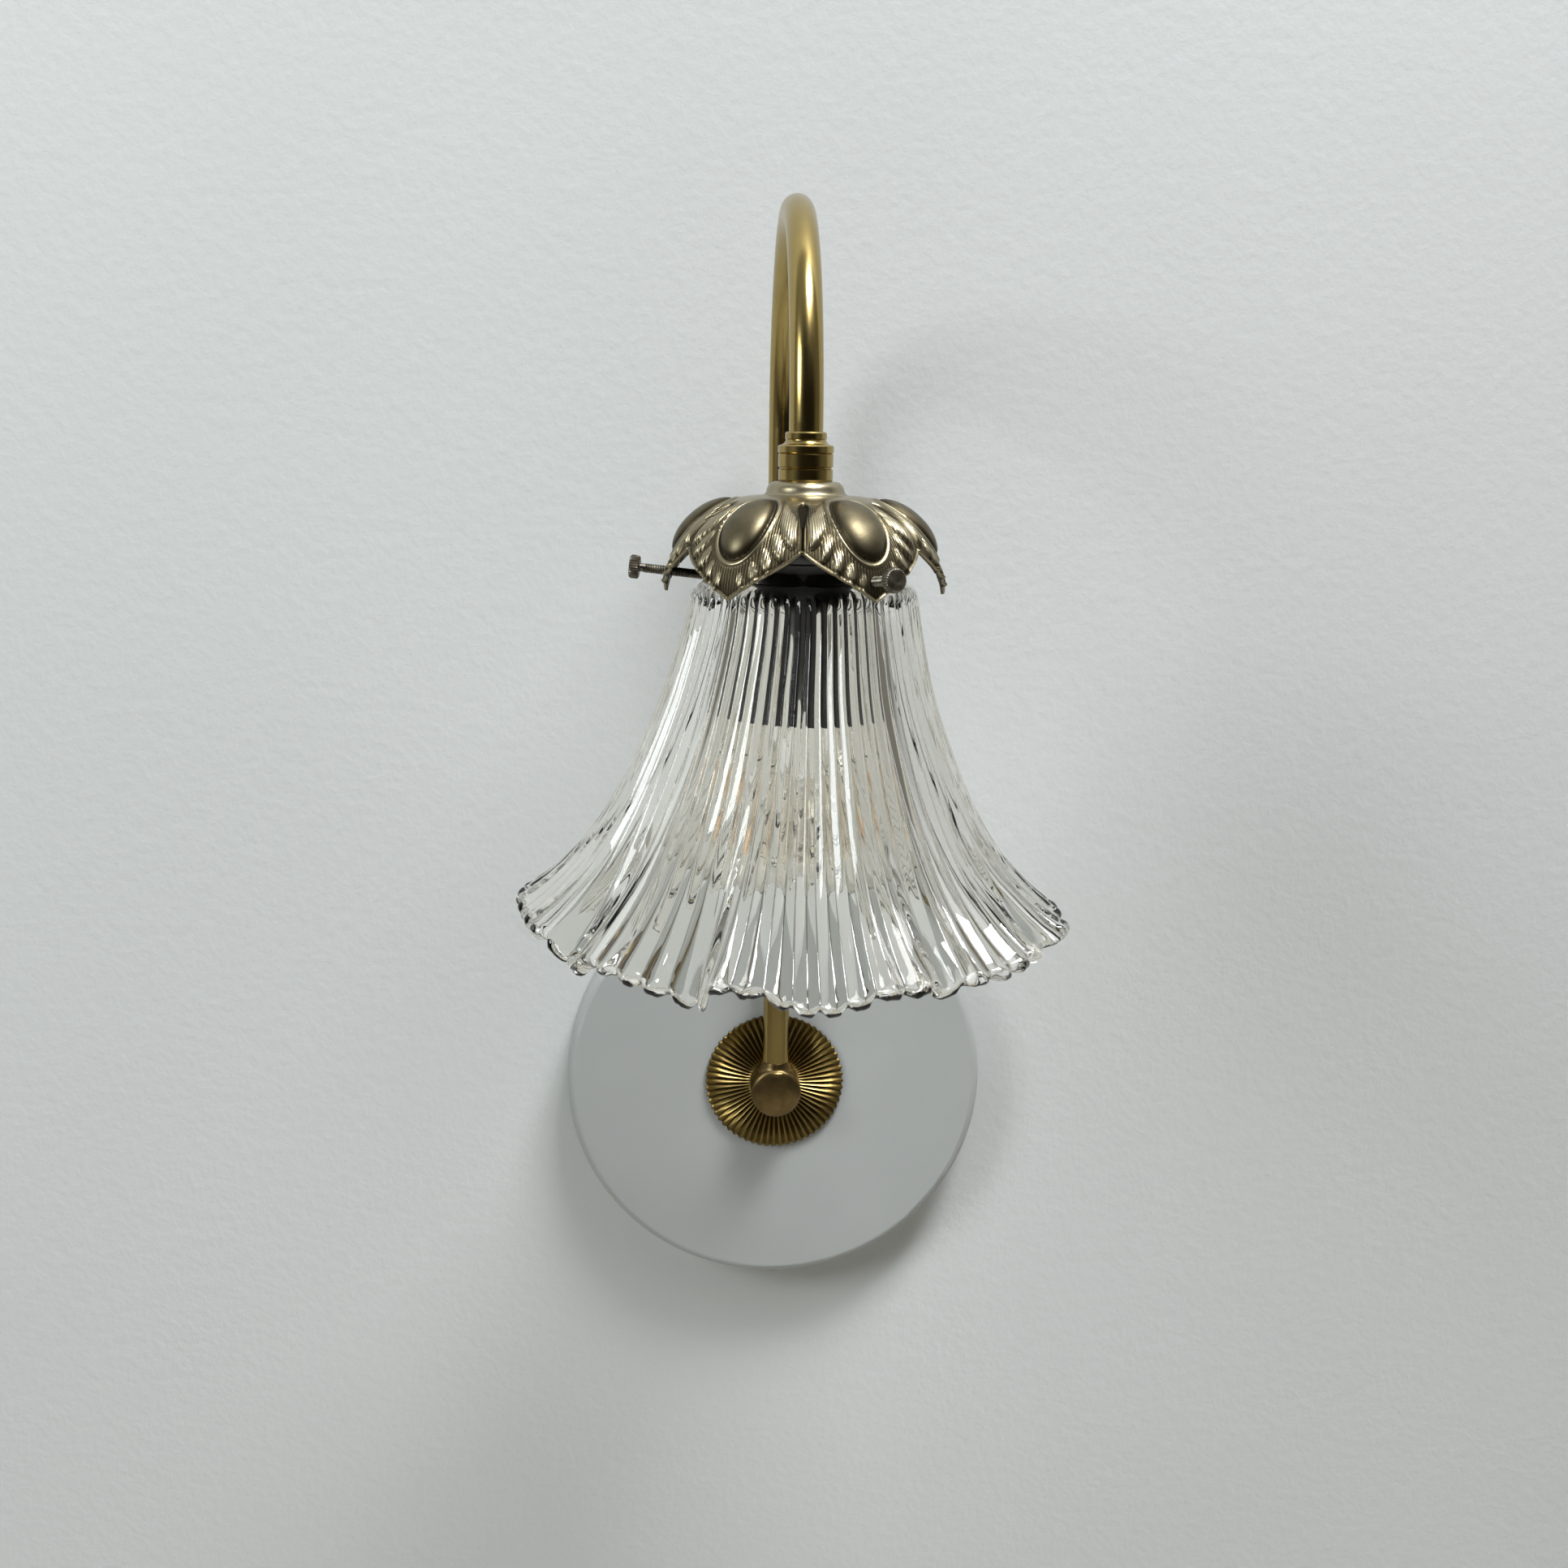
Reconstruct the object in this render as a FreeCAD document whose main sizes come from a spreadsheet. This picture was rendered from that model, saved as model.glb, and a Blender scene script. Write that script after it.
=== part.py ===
import FreeCAD, Part
import math
import os
import re
import Sketcher

# A swan-neck wall light: round wall plate, fluted rosette, bent brass arm, leaf gallery and a
# bell-shaped glass shade. Millimetres. +Z is up, +X is right as seen from the room, +Y goes into
# the wall. The wall's face is the plane Y = 0, and the origin is on it, behind the rosette.

Vector = FreeCAD.Vector
Rotation = FreeCAD.Rotation
Placement = FreeCAD.Placement

# Driving sizes, one cell each. Text that starts with "=" is worked out from the cells above it.
SIZES = {
    # wall plate and the strap behind it
    "plate_dia": "164", "plate_depth": "15", "plate_wall": "1.5", "plate_edge": "3",
    "strap_width": "16", "strap_thick": "2", "strap_half": "79.7", "strap_ear": "11",
    "slot_spacing": "90", "slot_length": "12", "slot_width": "4.5", "supply_hole": "10",
    "side_screw_out": "7", "side_screw_dia": "4", "side_head_dia": "7", "side_head_height": "1.6",
    "earth_up": "22", "block_width": "18", "block_depth": "9.5", "block_height": "16",
    "block_foot": "-34", "pole_offset": "4.5", "wire_out": "5.5",
    # rosette and knuckle
    "rosette_dia": "55", "rosette_thick": "2.6", "flute_count": "60", "flute_depth": "1.5",
    "rosette_hub_dia": "18.6", "knuckle_dia": "19.4", "knuckle_length": "15", "knuckle_dome": "1.4",
    # threaded tubes and nuts
    "nipple_dia": "10", "nipple_bore": "7", "play": "0.05", "nut_flats": "14", "nut_height": "3",
    "washer_thick": "1", "washer_dia": "15", "nipple_front": "23", "nipple_back": "9",
    # arm
    "tube_dia": "10", "tube_wall": "1", "tube_out": "25", "arc_radius": "67.5", "arc_up": "254",
    "tube_foot": "5.3", "tube_tip": "246",
    # coupler
    "coupler_top": "251.2", "coupler_foot": "237.05", "coupler_dia": "16", "neck_dia": "12.2",
    # leaf gallery: a quarter-round roll below a small dome
    "roll_radius": "28.4", "roll_out": "12.8", "tip_up": "204.6", "notch_up": "218.4",
    "notch_side_radius": "45", "gallery_wall": "1.8", "gallery_top": "237", "dome_round": "2.8",
    "petal_count": "6", "petal_turn": "-4.7",
    # glass shade
    "glass_wall": "3.5", "lip_dia": "60.4", "lip_top": "217.5", "groove_dia": "57.8",
    "collar_dia": "60.4", "neck_bore": "52",
    # thumb screws
    "screw_dia": "3", "screw_slope": "6", "screw_tip_out": "29.2", "screw_tip_up": "209.3",
    "screw_shank": "19.6", "screw_head_dia": "7", "screw_head_height": "3.1",
    # lampholder and lamp
    "cap_dia": "27.2", "holder_dia": "30.8", "holder_foot": "166", "shell_bore": "14.06",
    "lamp_cap_dia": "13.9", "lamp_dia": "45", "lamp_foot": "111", "lamp_wall": "0.8",
    "wire_dia": "1.6", "wire_offset": "1.3", "wire_top": "217",
    # worked out
    "axis_out": "=tube_out + 2 * arc_radius",
    "rosette_face": "=plate_depth + rosette_thick",
    "knuckle_face": "=rosette_face + knuckle_length",
    "dome_radius": "=(knuckle_dia ^ 2 / 4 + knuckle_dome ^ 2) / (2 * knuckle_dome)",
    "flute_half": "=pi * rosette_dia / flute_count / 2",
    "nut_corner": "=nut_flats / sqrt(3)",
    "bore": "=nipple_dia / 2 + play",
    "plate_inside": "=plate_depth - plate_wall",
    "lamp_centre": "=lamp_foot + lamp_dia / 2",
}

doc = FreeCAD.newDocument("wall_sconce")
sheet = doc.addObject("Spreadsheet::Sheet", "sizes")
for row, (alias, text) in enumerate(SIZES.items(), start=1):
    sheet.set(f"A{row}", alias)
    sheet.set(f"B{row}", text)
    sheet.setAlias(f"B{row}", alias)
working = doc.addObject("Spreadsheet::Sheet", "working")
doc.recompute()

WORD = re.compile(r"[a-z][a-z_]*")
NODES = []
TINY = 0.001


def bound(expression):
    """The expression as the document reads it, with every size taken from the sheet."""
    return WORD.sub(lambda word: "sizes." + word.group(0), expression)


def size(expression):
    """The number that an expression of the sheet's sizes gives."""
    working.set("A1", "=" + bound(expression))
    working.recompute()
    return float(working.get("A1"))


def tie(thing, **properties):
    """Bind properties to the sheet. Two underscores in a name stand for a dot."""
    for name, expression in properties.items():
        thing.setExpression(name.replace("__", "."), bound(expression))


def keep(thing, name):
    """Name a sub-part and list it for writing."""
    thing.Label = name
    NODES.append(thing)
    return thing


def stand_at(thing, x="0", y="0", z="0"):
    tie(thing, Placement__Base__x=x, Placement__Base__y=y, Placement__Base__z=z)
    return thing


def origin_part(body, role):
    return [feature for feature in body.Origin.OriginFeatures if feature.Role == role][0]


def new_sketch(body, role, name):
    sketch = body.newObject("Sketcher::SketchObject", name)
    sketch.AttachmentSupport = (origin_part(body, role), [""])
    sketch.MapMode = "FlatFace"
    return sketch


def hold(sketch, geometry, point, x, y):
    """Hold one point of a sketch's geometry at x, y, both expressions of the sheet."""
    for kind, text in (("DistanceX", x), ("DistanceY", y)):
        constraint = Sketcher.Constraint(kind, -1, 1, geometry, point, size(text))
        sketch.setExpression(f"Constraints[{sketch.addConstraint(constraint)}]", bound(text))


def draw(sketch, corners, closed=True):
    """Draw an outline or a route. A corner is (x, y), or (x, y, r) where an arc leaves it.

    The arc's centre is on the left of the way to the next corner, or on the right where r starts
    with a minus sign. A sketch arc runs anticlockwise, so its start and end change places then.
    A half circle stands on a level side, and its centre is held at that level."""
    places = [Vector(size(corner[0]), size(corner[1]), 0) for corner in corners]
    count = len(corners) if closed else len(corners) - 1
    sides, starts = [], []
    for index in range(count):
        start, end = places[index], places[(index + 1) % len(places)]
        starts.append(1)
        if len(corners[index]) == 2:
            sides.append(sketch.addGeometry(Part.LineSegment(start, end), False))
            continue
        right = corners[index][2].startswith("-")
        text = corners[index][2].lstrip("-")
        radius = size(text)
        half = (end - start) * 0.5
        inward = Vector(-half.y, half.x, 0).normalize() * (-1 if right else 1)
        rise = math.sqrt(max(radius ** 2 - half.Length ** 2, 0))
        middle = start + half + inward * (rise - radius)
        sides.append(sketch.addGeometry(Part.Arc(start, middle, end), False))
        starts[index] = 2 if right else 1
        if rise < TINY:
            text = corners[index][1]
            constraint = Sketcher.Constraint("DistanceY", -1, 1, sides[index], 3, size(text))
        else:
            constraint = Sketcher.Constraint("Radius", sides[index], radius)
        sketch.setExpression(f"Constraints[{sketch.addConstraint(constraint)}]", bound(text))
    for index, side in enumerate(sides):
        hold(sketch, side, starts[index], corners[index][0], corners[index][1])
        after = (index + 1) % len(sides)
        if closed or after:
            joint = ("Coincident", side, 3 - starts[index], sides[after], starts[after])
            sketch.addConstraint(Sketcher.Constraint(*joint))
        else:
            hold(sketch, side, 3 - starts[index], corners[-1][0], corners[-1][1])


def ring(sketch, x, y, radius):
    """Draw a circle round x, y."""
    circle = Part.Circle(Vector(size(x), size(y), 0), Vector(0, 0, 1), size(radius))
    number = sketch.addGeometry(circle, False)
    hold(sketch, number, 3, x, y)
    constraint = Sketcher.Constraint("Radius", number, size(radius))
    sketch.setExpression(f"Constraints[{sketch.addConstraint(constraint)}]", bound(radius))


def turned(name, role, corners):
    """A body turned about the second axis of its sketch plane: XZ_Plane turns about Z."""
    body = doc.addObject("PartDesign::Body", name)
    sketch = new_sketch(body, role, name + "_outline")
    draw(sketch, corners)
    spin = body.newObject("PartDesign::Revolution", name + "_turned")
    spin.Profile = sketch
    spin.ReferenceAxis = (sketch, ["V_Axis"])
    spin.Angle = 360
    body.Tip = spin
    return body


def cut_through(body, sketch, name, both=True, reverse=False):
    """Cut a sketch through the whole body, and make sure that it removed something."""
    doc.recompute()
    before = body.Shape.Volume
    pocket = body.newObject("PartDesign::Pocket", name)
    pocket.Profile = sketch
    pocket.Type = "ThroughAll"
    pocket.Midplane = both
    pocket.Reversed = reverse
    body.Tip = pocket
    doc.recompute()
    if body.Shape.Volume > before - 0.01:
        raise RuntimeError(name + " cuts nothing")
    return pocket


def repeat_round(body, feature, role, count, name):
    """Repeat a feature evenly about one of the body's own axes."""
    pattern = body.newObject("PartDesign::PolarPattern", name)
    pattern.Originals = [feature]
    pattern.Axis = (origin_part(body, role), [""])
    pattern.Angle = 360
    tie(pattern, Occurrences=count)
    body.Tip = pattern
    return pattern


def cylinder(name, radius, height, way=Vector(0, 0, 1)):
    """A plain cylinder whose foot is at its placement and whose axis goes the given way."""
    thing = doc.addObject("Part::Cylinder", name)
    tie(thing, Radius=radius, Height=height)
    thing.Placement = Placement(Vector(), Rotation(Vector(0, 0, 1), way))
    return thing


def cut(name, base, tools):
    """The base less its tools."""
    tool = tools[0]
    if len(tools) > 1:
        tool = doc.addObject("Part::MultiFuse", name + "_tools")
        tool.Shapes = tools
    thing = doc.addObject("Part::Cut", name)
    thing.Base, thing.Tool = base, tool
    return thing


def together(name, things):
    """One sub-part made of several solids."""
    thing = doc.addObject("Part::MultiFuse", name)
    thing.Shapes = things
    return thing


def wall_plate():
    """Hollow round cup of sheet steel with a rounded front edge, open at the wall."""
    body = turned("wall_plate", "XY_Plane", [
        ("bore", "-plate_depth"),
        ("plate_dia / 2 - plate_edge", "-plate_depth", "plate_edge"),
        ("plate_dia / 2", "-plate_depth + plate_edge"),
        ("plate_dia / 2", "0"),
        ("plate_dia / 2 - plate_wall", "0"),
        ("plate_dia / 2 - plate_wall", "-plate_depth + plate_edge", "-(plate_edge - plate_wall)"),
        ("plate_dia / 2 - plate_edge", "-plate_inside"),
        ("bore", "-plate_inside")])
    holes = new_sketch(body, "XY_Plane", "side_holes")
    ring(holes, "0", "-side_screw_out", "side_screw_dia / 2 + 0.15")
    cut_through(body, holes, "side_holes_cut")
    return keep(body, "wall_plate")


def mounting_bar():
    """Flat steel strap with two wall slots, a cable hole and an ear bent forward at each end."""
    body = doc.addObject("PartDesign::Body", "mounting_bar")
    side = new_sketch(body, "YZ_Plane", "strap_side")
    draw(side, [
        ("0", "-strap_half"), ("0", "strap_half"), ("-strap_ear", "strap_half"),
        ("-strap_ear", "strap_half - strap_thick"), ("-strap_thick", "strap_half - strap_thick"),
        ("-strap_thick", "-strap_half + strap_thick"),
        ("-strap_ear", "-strap_half + strap_thick"), ("-strap_ear", "-strap_half")])
    pad = body.newObject("PartDesign::Pad", "strap")
    pad.Profile = side
    pad.Midplane = True
    tie(pad, Length="strap_width")
    body.Tip = pad
    slots = new_sketch(body, "XZ_Plane", "wall_slots")
    for centre in ("slot_spacing / 2", "-slot_spacing / 2"):
        low = centre + " - (slot_length - slot_width) / 2"
        high = centre + " + (slot_length - slot_width) / 2"
        draw(slots, [
            ("slot_width / 2", low), ("slot_width / 2", high, "slot_width / 2"),
            ("-slot_width / 2", high), ("-slot_width / 2", low, "slot_width / 2")])
    ring(slots, "0", "0", "supply_hole / 2")
    ring(slots, "0", "earth_up", "side_screw_dia / 2 + play")
    cut_through(body, slots, "wall_slots_cut")
    holes = new_sketch(body, "XY_Plane", "ear_holes")
    ring(holes, "0", "-side_screw_out", "side_screw_dia / 2 + play")
    cut_through(body, holes, "ear_holes_cut")
    return keep(body, "mounting_bar")


def plate_side_screws():
    """Two small screws, above and below, that go through the plate's rim into the strap's ears."""
    parts = []
    for place, up in (("upper", 1), ("lower", -1)):
        way = Vector(0, 0, up)
        sign = "" if up > 0 else "-"
        head = cylinder(place + "_head", "side_head_dia / 2", "side_head_height", way)
        stand_at(head, y="-side_screw_out", z=f"{sign}(plate_dia / 2 + play)")
        shank = cylinder(place + "_shank", "side_screw_dia / 2", "6", way)
        stand_at(shank, y="-side_screw_out", z=f"{sign}(plate_dia / 2 + play - 5.9)")
        parts += [head, shank]
    return keep(together("plate_side_screws", parts), "plate_side_screws")


def rosette():
    """Brass disc with radial V flutes that run out through its edge, round a flat hub."""
    body = turned("rosette", "XY_Plane", [
        ("bore", "-plate_depth"), ("rosette_dia / 2 - 0.8", "-plate_depth"),
        ("rosette_dia / 2", "-plate_depth - 0.9"), ("rosette_dia / 2 - 0.3", "-rosette_face + 0.3"),
        ("rosette_dia / 2 - 1.2", "-rosette_face"), ("bore", "-rosette_face")])
    flute = new_sketch(body, "YZ_Plane", "flute")
    draw(flute, [
        ("-rosette_face + flute_depth", "0"), ("-rosette_face - flute_depth", "-2 * flute_half"),
        ("-rosette_face - flute_depth", "2 * flute_half")])
    groove = cut_through(body, flute, "flute_cut", both=False)
    repeat_round(body, groove, "Y_Axis", "flute_count", "flutes")
    hub = new_sketch(body, "XY_Plane", "hub")
    draw(hub, [
        ("bore", "-plate_depth"), ("rosette_hub_dia / 2", "-plate_depth"),
        ("rosette_hub_dia / 2", "-rosette_face"), ("bore", "-rosette_face")])
    spin = body.newObject("PartDesign::Revolution", "hub_turned")
    spin.Profile = hub
    spin.ReferenceAxis = (hub, ["V_Axis"])
    spin.Angle = 360
    body.Tip = spin
    return keep(body, "rosette")


def wall_nipple():
    """Hollow threaded tube that clamps knuckle, rosette and plate together."""
    return keep(turned("wall_nipple", "XY_Plane", [
        ("nipple_bore / 2", "-nipple_front"), ("nipple_dia / 2", "-nipple_front"),
        ("nipple_dia / 2", "-nipple_back"), ("nipple_bore / 2", "-nipple_back")]), "wall_nipple")


def lock_washer():
    return keep(turned("lock_washer", "XY_Plane", [
        ("bore", "-plate_inside"), ("washer_dia / 2", "-plate_inside"),
        ("washer_dia / 2", "-plate_inside + washer_thick"),
        ("bore", "-plate_inside + washer_thick")]), "lock_washer")


def hex_nut(name, way, **place):
    """Thin hexagon nut, bored for the threaded tube."""
    hexagon = doc.addObject("Part::Prism", name + "_hexagon")
    hexagon.Polygon = 6
    tie(hexagon, Circumradius="nut_corner", Height="nut_height")
    hexagon.Placement = Placement(Vector(), Rotation(Vector(0, 0, 1), way))
    hole = cylinder(name + "_hole", "bore", "nut_height", way)
    for thing in (hexagon, hole):
        stand_at(thing, **place)
    return keep(cut(name, hexagon, [hole]), name)


def knuckle():
    """Solid brass elbow with a slightly domed front, bored behind for the threaded tube and above
    for the arm."""
    body = turned("knuckle", "XY_Plane", [
        ("bore", "-rosette_face"), ("knuckle_dia / 2 - 0.3", "-rosette_face"),
        ("knuckle_dia / 2", "-rosette_face - 0.3"),
        ("knuckle_dia / 2", "-knuckle_face + knuckle_dome", "-dome_radius"),
        ("0", "-knuckle_face"), ("0", "-tube_out"), ("bore", "-tube_out")])
    socket = new_sketch(body, "XY_Plane", "arm_socket")
    ring(socket, "0", "-tube_out", "bore")
    cut_through(body, socket, "arm_socket_cut", both=False, reverse=True)
    return keep(body, "knuckle")


def arm_tube():
    """Brass tube bent in a half circle: up from the knuckle, over, and down to the coupler."""
    body = doc.addObject("PartDesign::Body", "arm_tube")
    route = new_sketch(body, "YZ_Plane", "arm_route")
    draw(route, [
        ("-tube_out", "tube_foot"), ("-tube_out", "arc_up", "arc_radius"),
        ("-axis_out", "arc_up"), ("-axis_out", "tube_tip")], closed=False)
    section = new_sketch(body, "XY_Plane", "arm_section")
    section.setExpression(".AttachmentOffset.Base.z", bound("tube_foot"))
    ring(section, "0", "-tube_out", "tube_dia / 2")
    ring(section, "0", "-tube_out", "tube_dia / 2 - tube_wall")
    pipe = body.newObject("PartDesign::AdditivePipe", "arm_pipe")
    pipe.Profile = section
    pipe.Spine = route
    body.Tip = pipe
    return keep(body, "arm_tube")


def coupler():
    """Turned brass coupler: a collar and a cove above three bands."""
    body = turned("coupler", "XZ_Plane", [
        ("bore", "coupler_foot"), ("coupler_dia / 2 - 0.2", "coupler_foot"),
        ("coupler_dia / 2", "coupler_foot + 0.4"), ("coupler_dia / 2", "coupler_foot + 3.3"),
        ("coupler_dia / 2 - 0.4", "coupler_foot + 3.6"),
        ("coupler_dia / 2 - 0.4", "coupler_foot + 3.9"),
        ("coupler_dia / 2 + 0.1", "coupler_foot + 4.2"),
        ("coupler_dia / 2 + 0.1", "coupler_foot + 7.7"),
        ("coupler_dia / 2 - 0.2", "coupler_foot + 8"),
        ("coupler_dia / 2 + 0.2", "coupler_foot + 8.3"),
        ("coupler_dia / 2 + 0.2", "coupler_foot + 10"),
        ("coupler_dia / 2 - 0.3", "coupler_foot + 10.4", "-1.9"),
        ("neck_dia / 2 - 0.2", "coupler_foot + 11.9"), ("neck_dia / 2", "coupler_foot + 12.2"),
        ("neck_dia / 2", "coupler_top - 0.4"), ("neck_dia / 2 - 0.4", "coupler_top"),
        ("bore", "coupler_top")])
    stand_at(body, y="-axis_out")
    return keep(body, "coupler")


def gallery_nipple():
    """Hollow threaded tube from the coupler through the gallery into the lampholder."""
    body = turned("gallery_nipple", "XZ_Plane", [
        ("nipple_bore / 2", "gallery_top - 13"), ("nipple_dia / 2", "gallery_top - 13"),
        ("nipple_dia / 2", "gallery_top + 7"), ("nipple_bore / 2", "gallery_top + 7")])
    stand_at(body, y="-axis_out")
    return keep(body, "gallery_nipple")


def outward(azimuth, rise=0.0):
    """The way out from the shade's axis. Azimuth 0 faces the room and 90 faces right."""
    turn, lift = math.radians(azimuth), math.radians(rise)
    return Vector(math.sin(turn) * math.cos(lift), -math.cos(turn) * math.cos(lift), math.sin(lift))


def screw_azimuth(number):
    """Every second petal carries a thumb screw, and the first is the one right of the front."""
    return size("petal_turn") + 360 / size("petal_count") * (2 * number + 0.5)


def screw_tip(azimuth):
    out = outward(azimuth) * size("screw_tip_out")
    return Vector(out.x, out.y - size("axis_out"), size("screw_tip_up"))


def leaf_gallery():
    """Cast brass leaf cup: a dome, a rolled skirt with six petals, and three threaded holes."""
    blank = turned("leaf_blank", "XZ_Plane", [
        ("bore", "gallery_top"), ("roll_out - dome_round - 1.4", "gallery_top", "-dome_round"),
        ("roll_out - 1.4", "gallery_top - dome_round"), ("roll_out - 0.9", "gallery_top - 3.6"),
        ("roll_out", "tip_up + roll_radius", "-roll_radius"),
        ("roll_out + roll_radius", "tip_up"),
        ("roll_out + roll_radius - gallery_wall", "tip_up", "roll_radius - gallery_wall"),
        ("roll_out", "tip_up + roll_radius - gallery_wall"),
        ("roll_out - 2.4", "gallery_top - 5.4"), ("roll_out - 3.5", "gallery_top - 3.2"),
        ("roll_out - 4.2", "gallery_top - 1.6"), ("bore", "gallery_top - 1.6")])
    notch = new_sketch(blank, "XZ_Plane", "notch")
    spread = "(roll_out + roll_radius) * 0.6"
    draw(notch, [
        ("0", "notch_up", "notch_side_radius"), (spread, "tip_up - 3"),
        ("-" + spread, "tip_up - 3", "notch_side_radius")])
    pocket = cut_through(blank, notch, "notch_cut", both=False)
    repeat_round(blank, pocket, "Z_Axis", "petal_count", "notches")
    blank.Placement = Placement(Vector(), Rotation(Vector(0, 0, 1), size("petal_turn")))
    stand_at(blank, y="-axis_out")
    holes = []
    for number in range(3):
        azimuth = screw_azimuth(number)
        way = outward(azimuth, size("screw_slope"))
        hole = cylinder(f"screw_hole_{number}", "screw_dia / 2 + play", "24", way)
        hole.Placement.Base = screw_tip(azimuth) + way * 3
        holes.append(hole)
    return keep(cut("leaf_gallery", blank, holes), "leaf_gallery")


def thumb_screw(name, number):
    """Knurled thumb screw through one petal. Its tip meets the groove in the glass neck."""
    body = turned(name, "XZ_Plane", [
        ("0", "0"), ("screw_dia / 2 - 0.4", "0"), ("screw_dia / 2", "0.4"),
        ("screw_dia / 2", "screw_shank"), ("screw_head_dia / 2 - 0.4", "screw_shank"),
        ("screw_head_dia / 2", "screw_shank + 0.4"),
        ("screw_head_dia / 2", "screw_shank + screw_head_height - 0.5"),
        ("screw_head_dia / 2 - 0.5", "screw_shank + screw_head_height"),
        ("0", "screw_shank + screw_head_height")])
    azimuth = screw_azimuth(number)
    way = outward(azimuth, size("screw_slope"))
    body.Placement = Placement(screw_tip(azimuth), Rotation(Vector(0, 0, 1), way))
    return keep(body, name)


# The bell's outside: (radius, height, depth of the ruffle). The ruffle grows towards the rim.
BELL = [
    (31.4, 206.6, 0), (33.0, 203.0, 0), (35.0, 195.5, 0), (37.6, 185.0, 0), (40.8, 174.0, 0),
    (45.3, 162.0, 0), (50.9, 149.0, 0), (57.6, 136.5, 0.4), (65.2, 125.0, 1.2),
    (73.6, 115.0, 2.4), (80.6, 107.5, 3.6), (84.4, 102.0, 4.4)]
# Where the rim folds inwards, in degrees of azimuth, and half the width of a fold.
FOLDS = (-110, -66, -46, -18, 30, 63, 100, 136, 172, 208)
FOLD_HALF = 10.0
RING_POINTS = 120


def ruffle(azimuth):
    """1 on an outward lobe and about -1 in a fold."""
    depth = 0.0
    for fold in FOLDS:
        away = (azimuth - fold + 180) % 360 - 180
        depth += math.exp(-(away / FOLD_HALF) ** 2)
    return 1 - 2 * min(depth, 1)


def bell_ring(radius, up, depth):
    points = []
    for step in range(RING_POINTS):
        azimuth = 360 * step / RING_POINTS
        point = outward(azimuth) * (radius + depth * ruffle(azimuth))
        points.append(Vector(point.x, point.y, up))
    curve = Part.BSplineCurve()
    curve.interpolate(Points=points, PeriodicFlag=True)
    return Part.Wire([curve.toShape()])


def glass_shade():
    """Pressed glass bell: a neck with a lip and a groove above a flared, ruffled skirt."""
    wall = size("glass_wall")
    inside = []
    for index, (radius, up, depth) in enumerate(BELL):
        upper, lower = BELL[max(index - 1, 0)], BELL[min(index + 1, len(BELL) - 1)]
        lean = (lower[0] - upper[0]) / (upper[1] - lower[1])
        inside.append((radius - wall * math.sqrt(1 + lean ** 2), up, depth))
    top, foot, above_foot = inside[0], inside[-1], inside[-2]
    flare = (foot[0] - above_foot[0]) / (above_foot[1] - foot[1])
    inside = [(top[0], top[1] + 1, 0)] + inside + [(foot[0] + flare, foot[1] - 1, foot[2])]
    outer = Part.makeLoft([bell_ring(*section) for section in BELL], True, False)
    inner = Part.makeLoft([bell_ring(*section) for section in inside], True, False)
    neck_face = Part.Face(Part.makePolygon([Vector(x, 0, z) for x, z in (
        (size("neck_bore / 2"), BELL[1][1]), (size("collar_dia / 2 - 0.6"), BELL[1][1]),
        (size("collar_dia / 2"), BELL[0][1] - 0.5), (size("collar_dia / 2"), BELL[0][1] + 0.6),
        (size("groove_dia / 2"), BELL[0][1] + 0.9), (size("groove_dia / 2"), 213.4),
        (size("lip_dia / 2"), 214.4), (size("lip_dia / 2"), size("lip_top - 0.6")),
        (size("lip_dia / 2 - 0.6"), size("lip_top")), (size("neck_bore / 2"), size("lip_top")),
        (size("neck_bore / 2"), BELL[1][1]))]))
    neck = neck_face.revolve(Vector(), Vector(0, 0, 1), 360)
    bore = Part.makeCylinder(size("neck_bore / 2"), 20, Vector(0, 0, BELL[1][1] - 6))
    thing = doc.addObject("Part::Feature", "glass_shade")
    thing.Shape = outer.cut(inner).fuse(neck).cut(bore).removeSplitter()
    thing.Placement = Placement(Vector(0, -size("axis_out"), 0), Rotation())
    return keep(thing, "glass_shade")


def on_axis(name, corners):
    """A sub-part turned about the shade's axis."""
    body = turned(name, "XZ_Plane", corners)
    stand_at(body, y="-axis_out")
    return body


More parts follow.
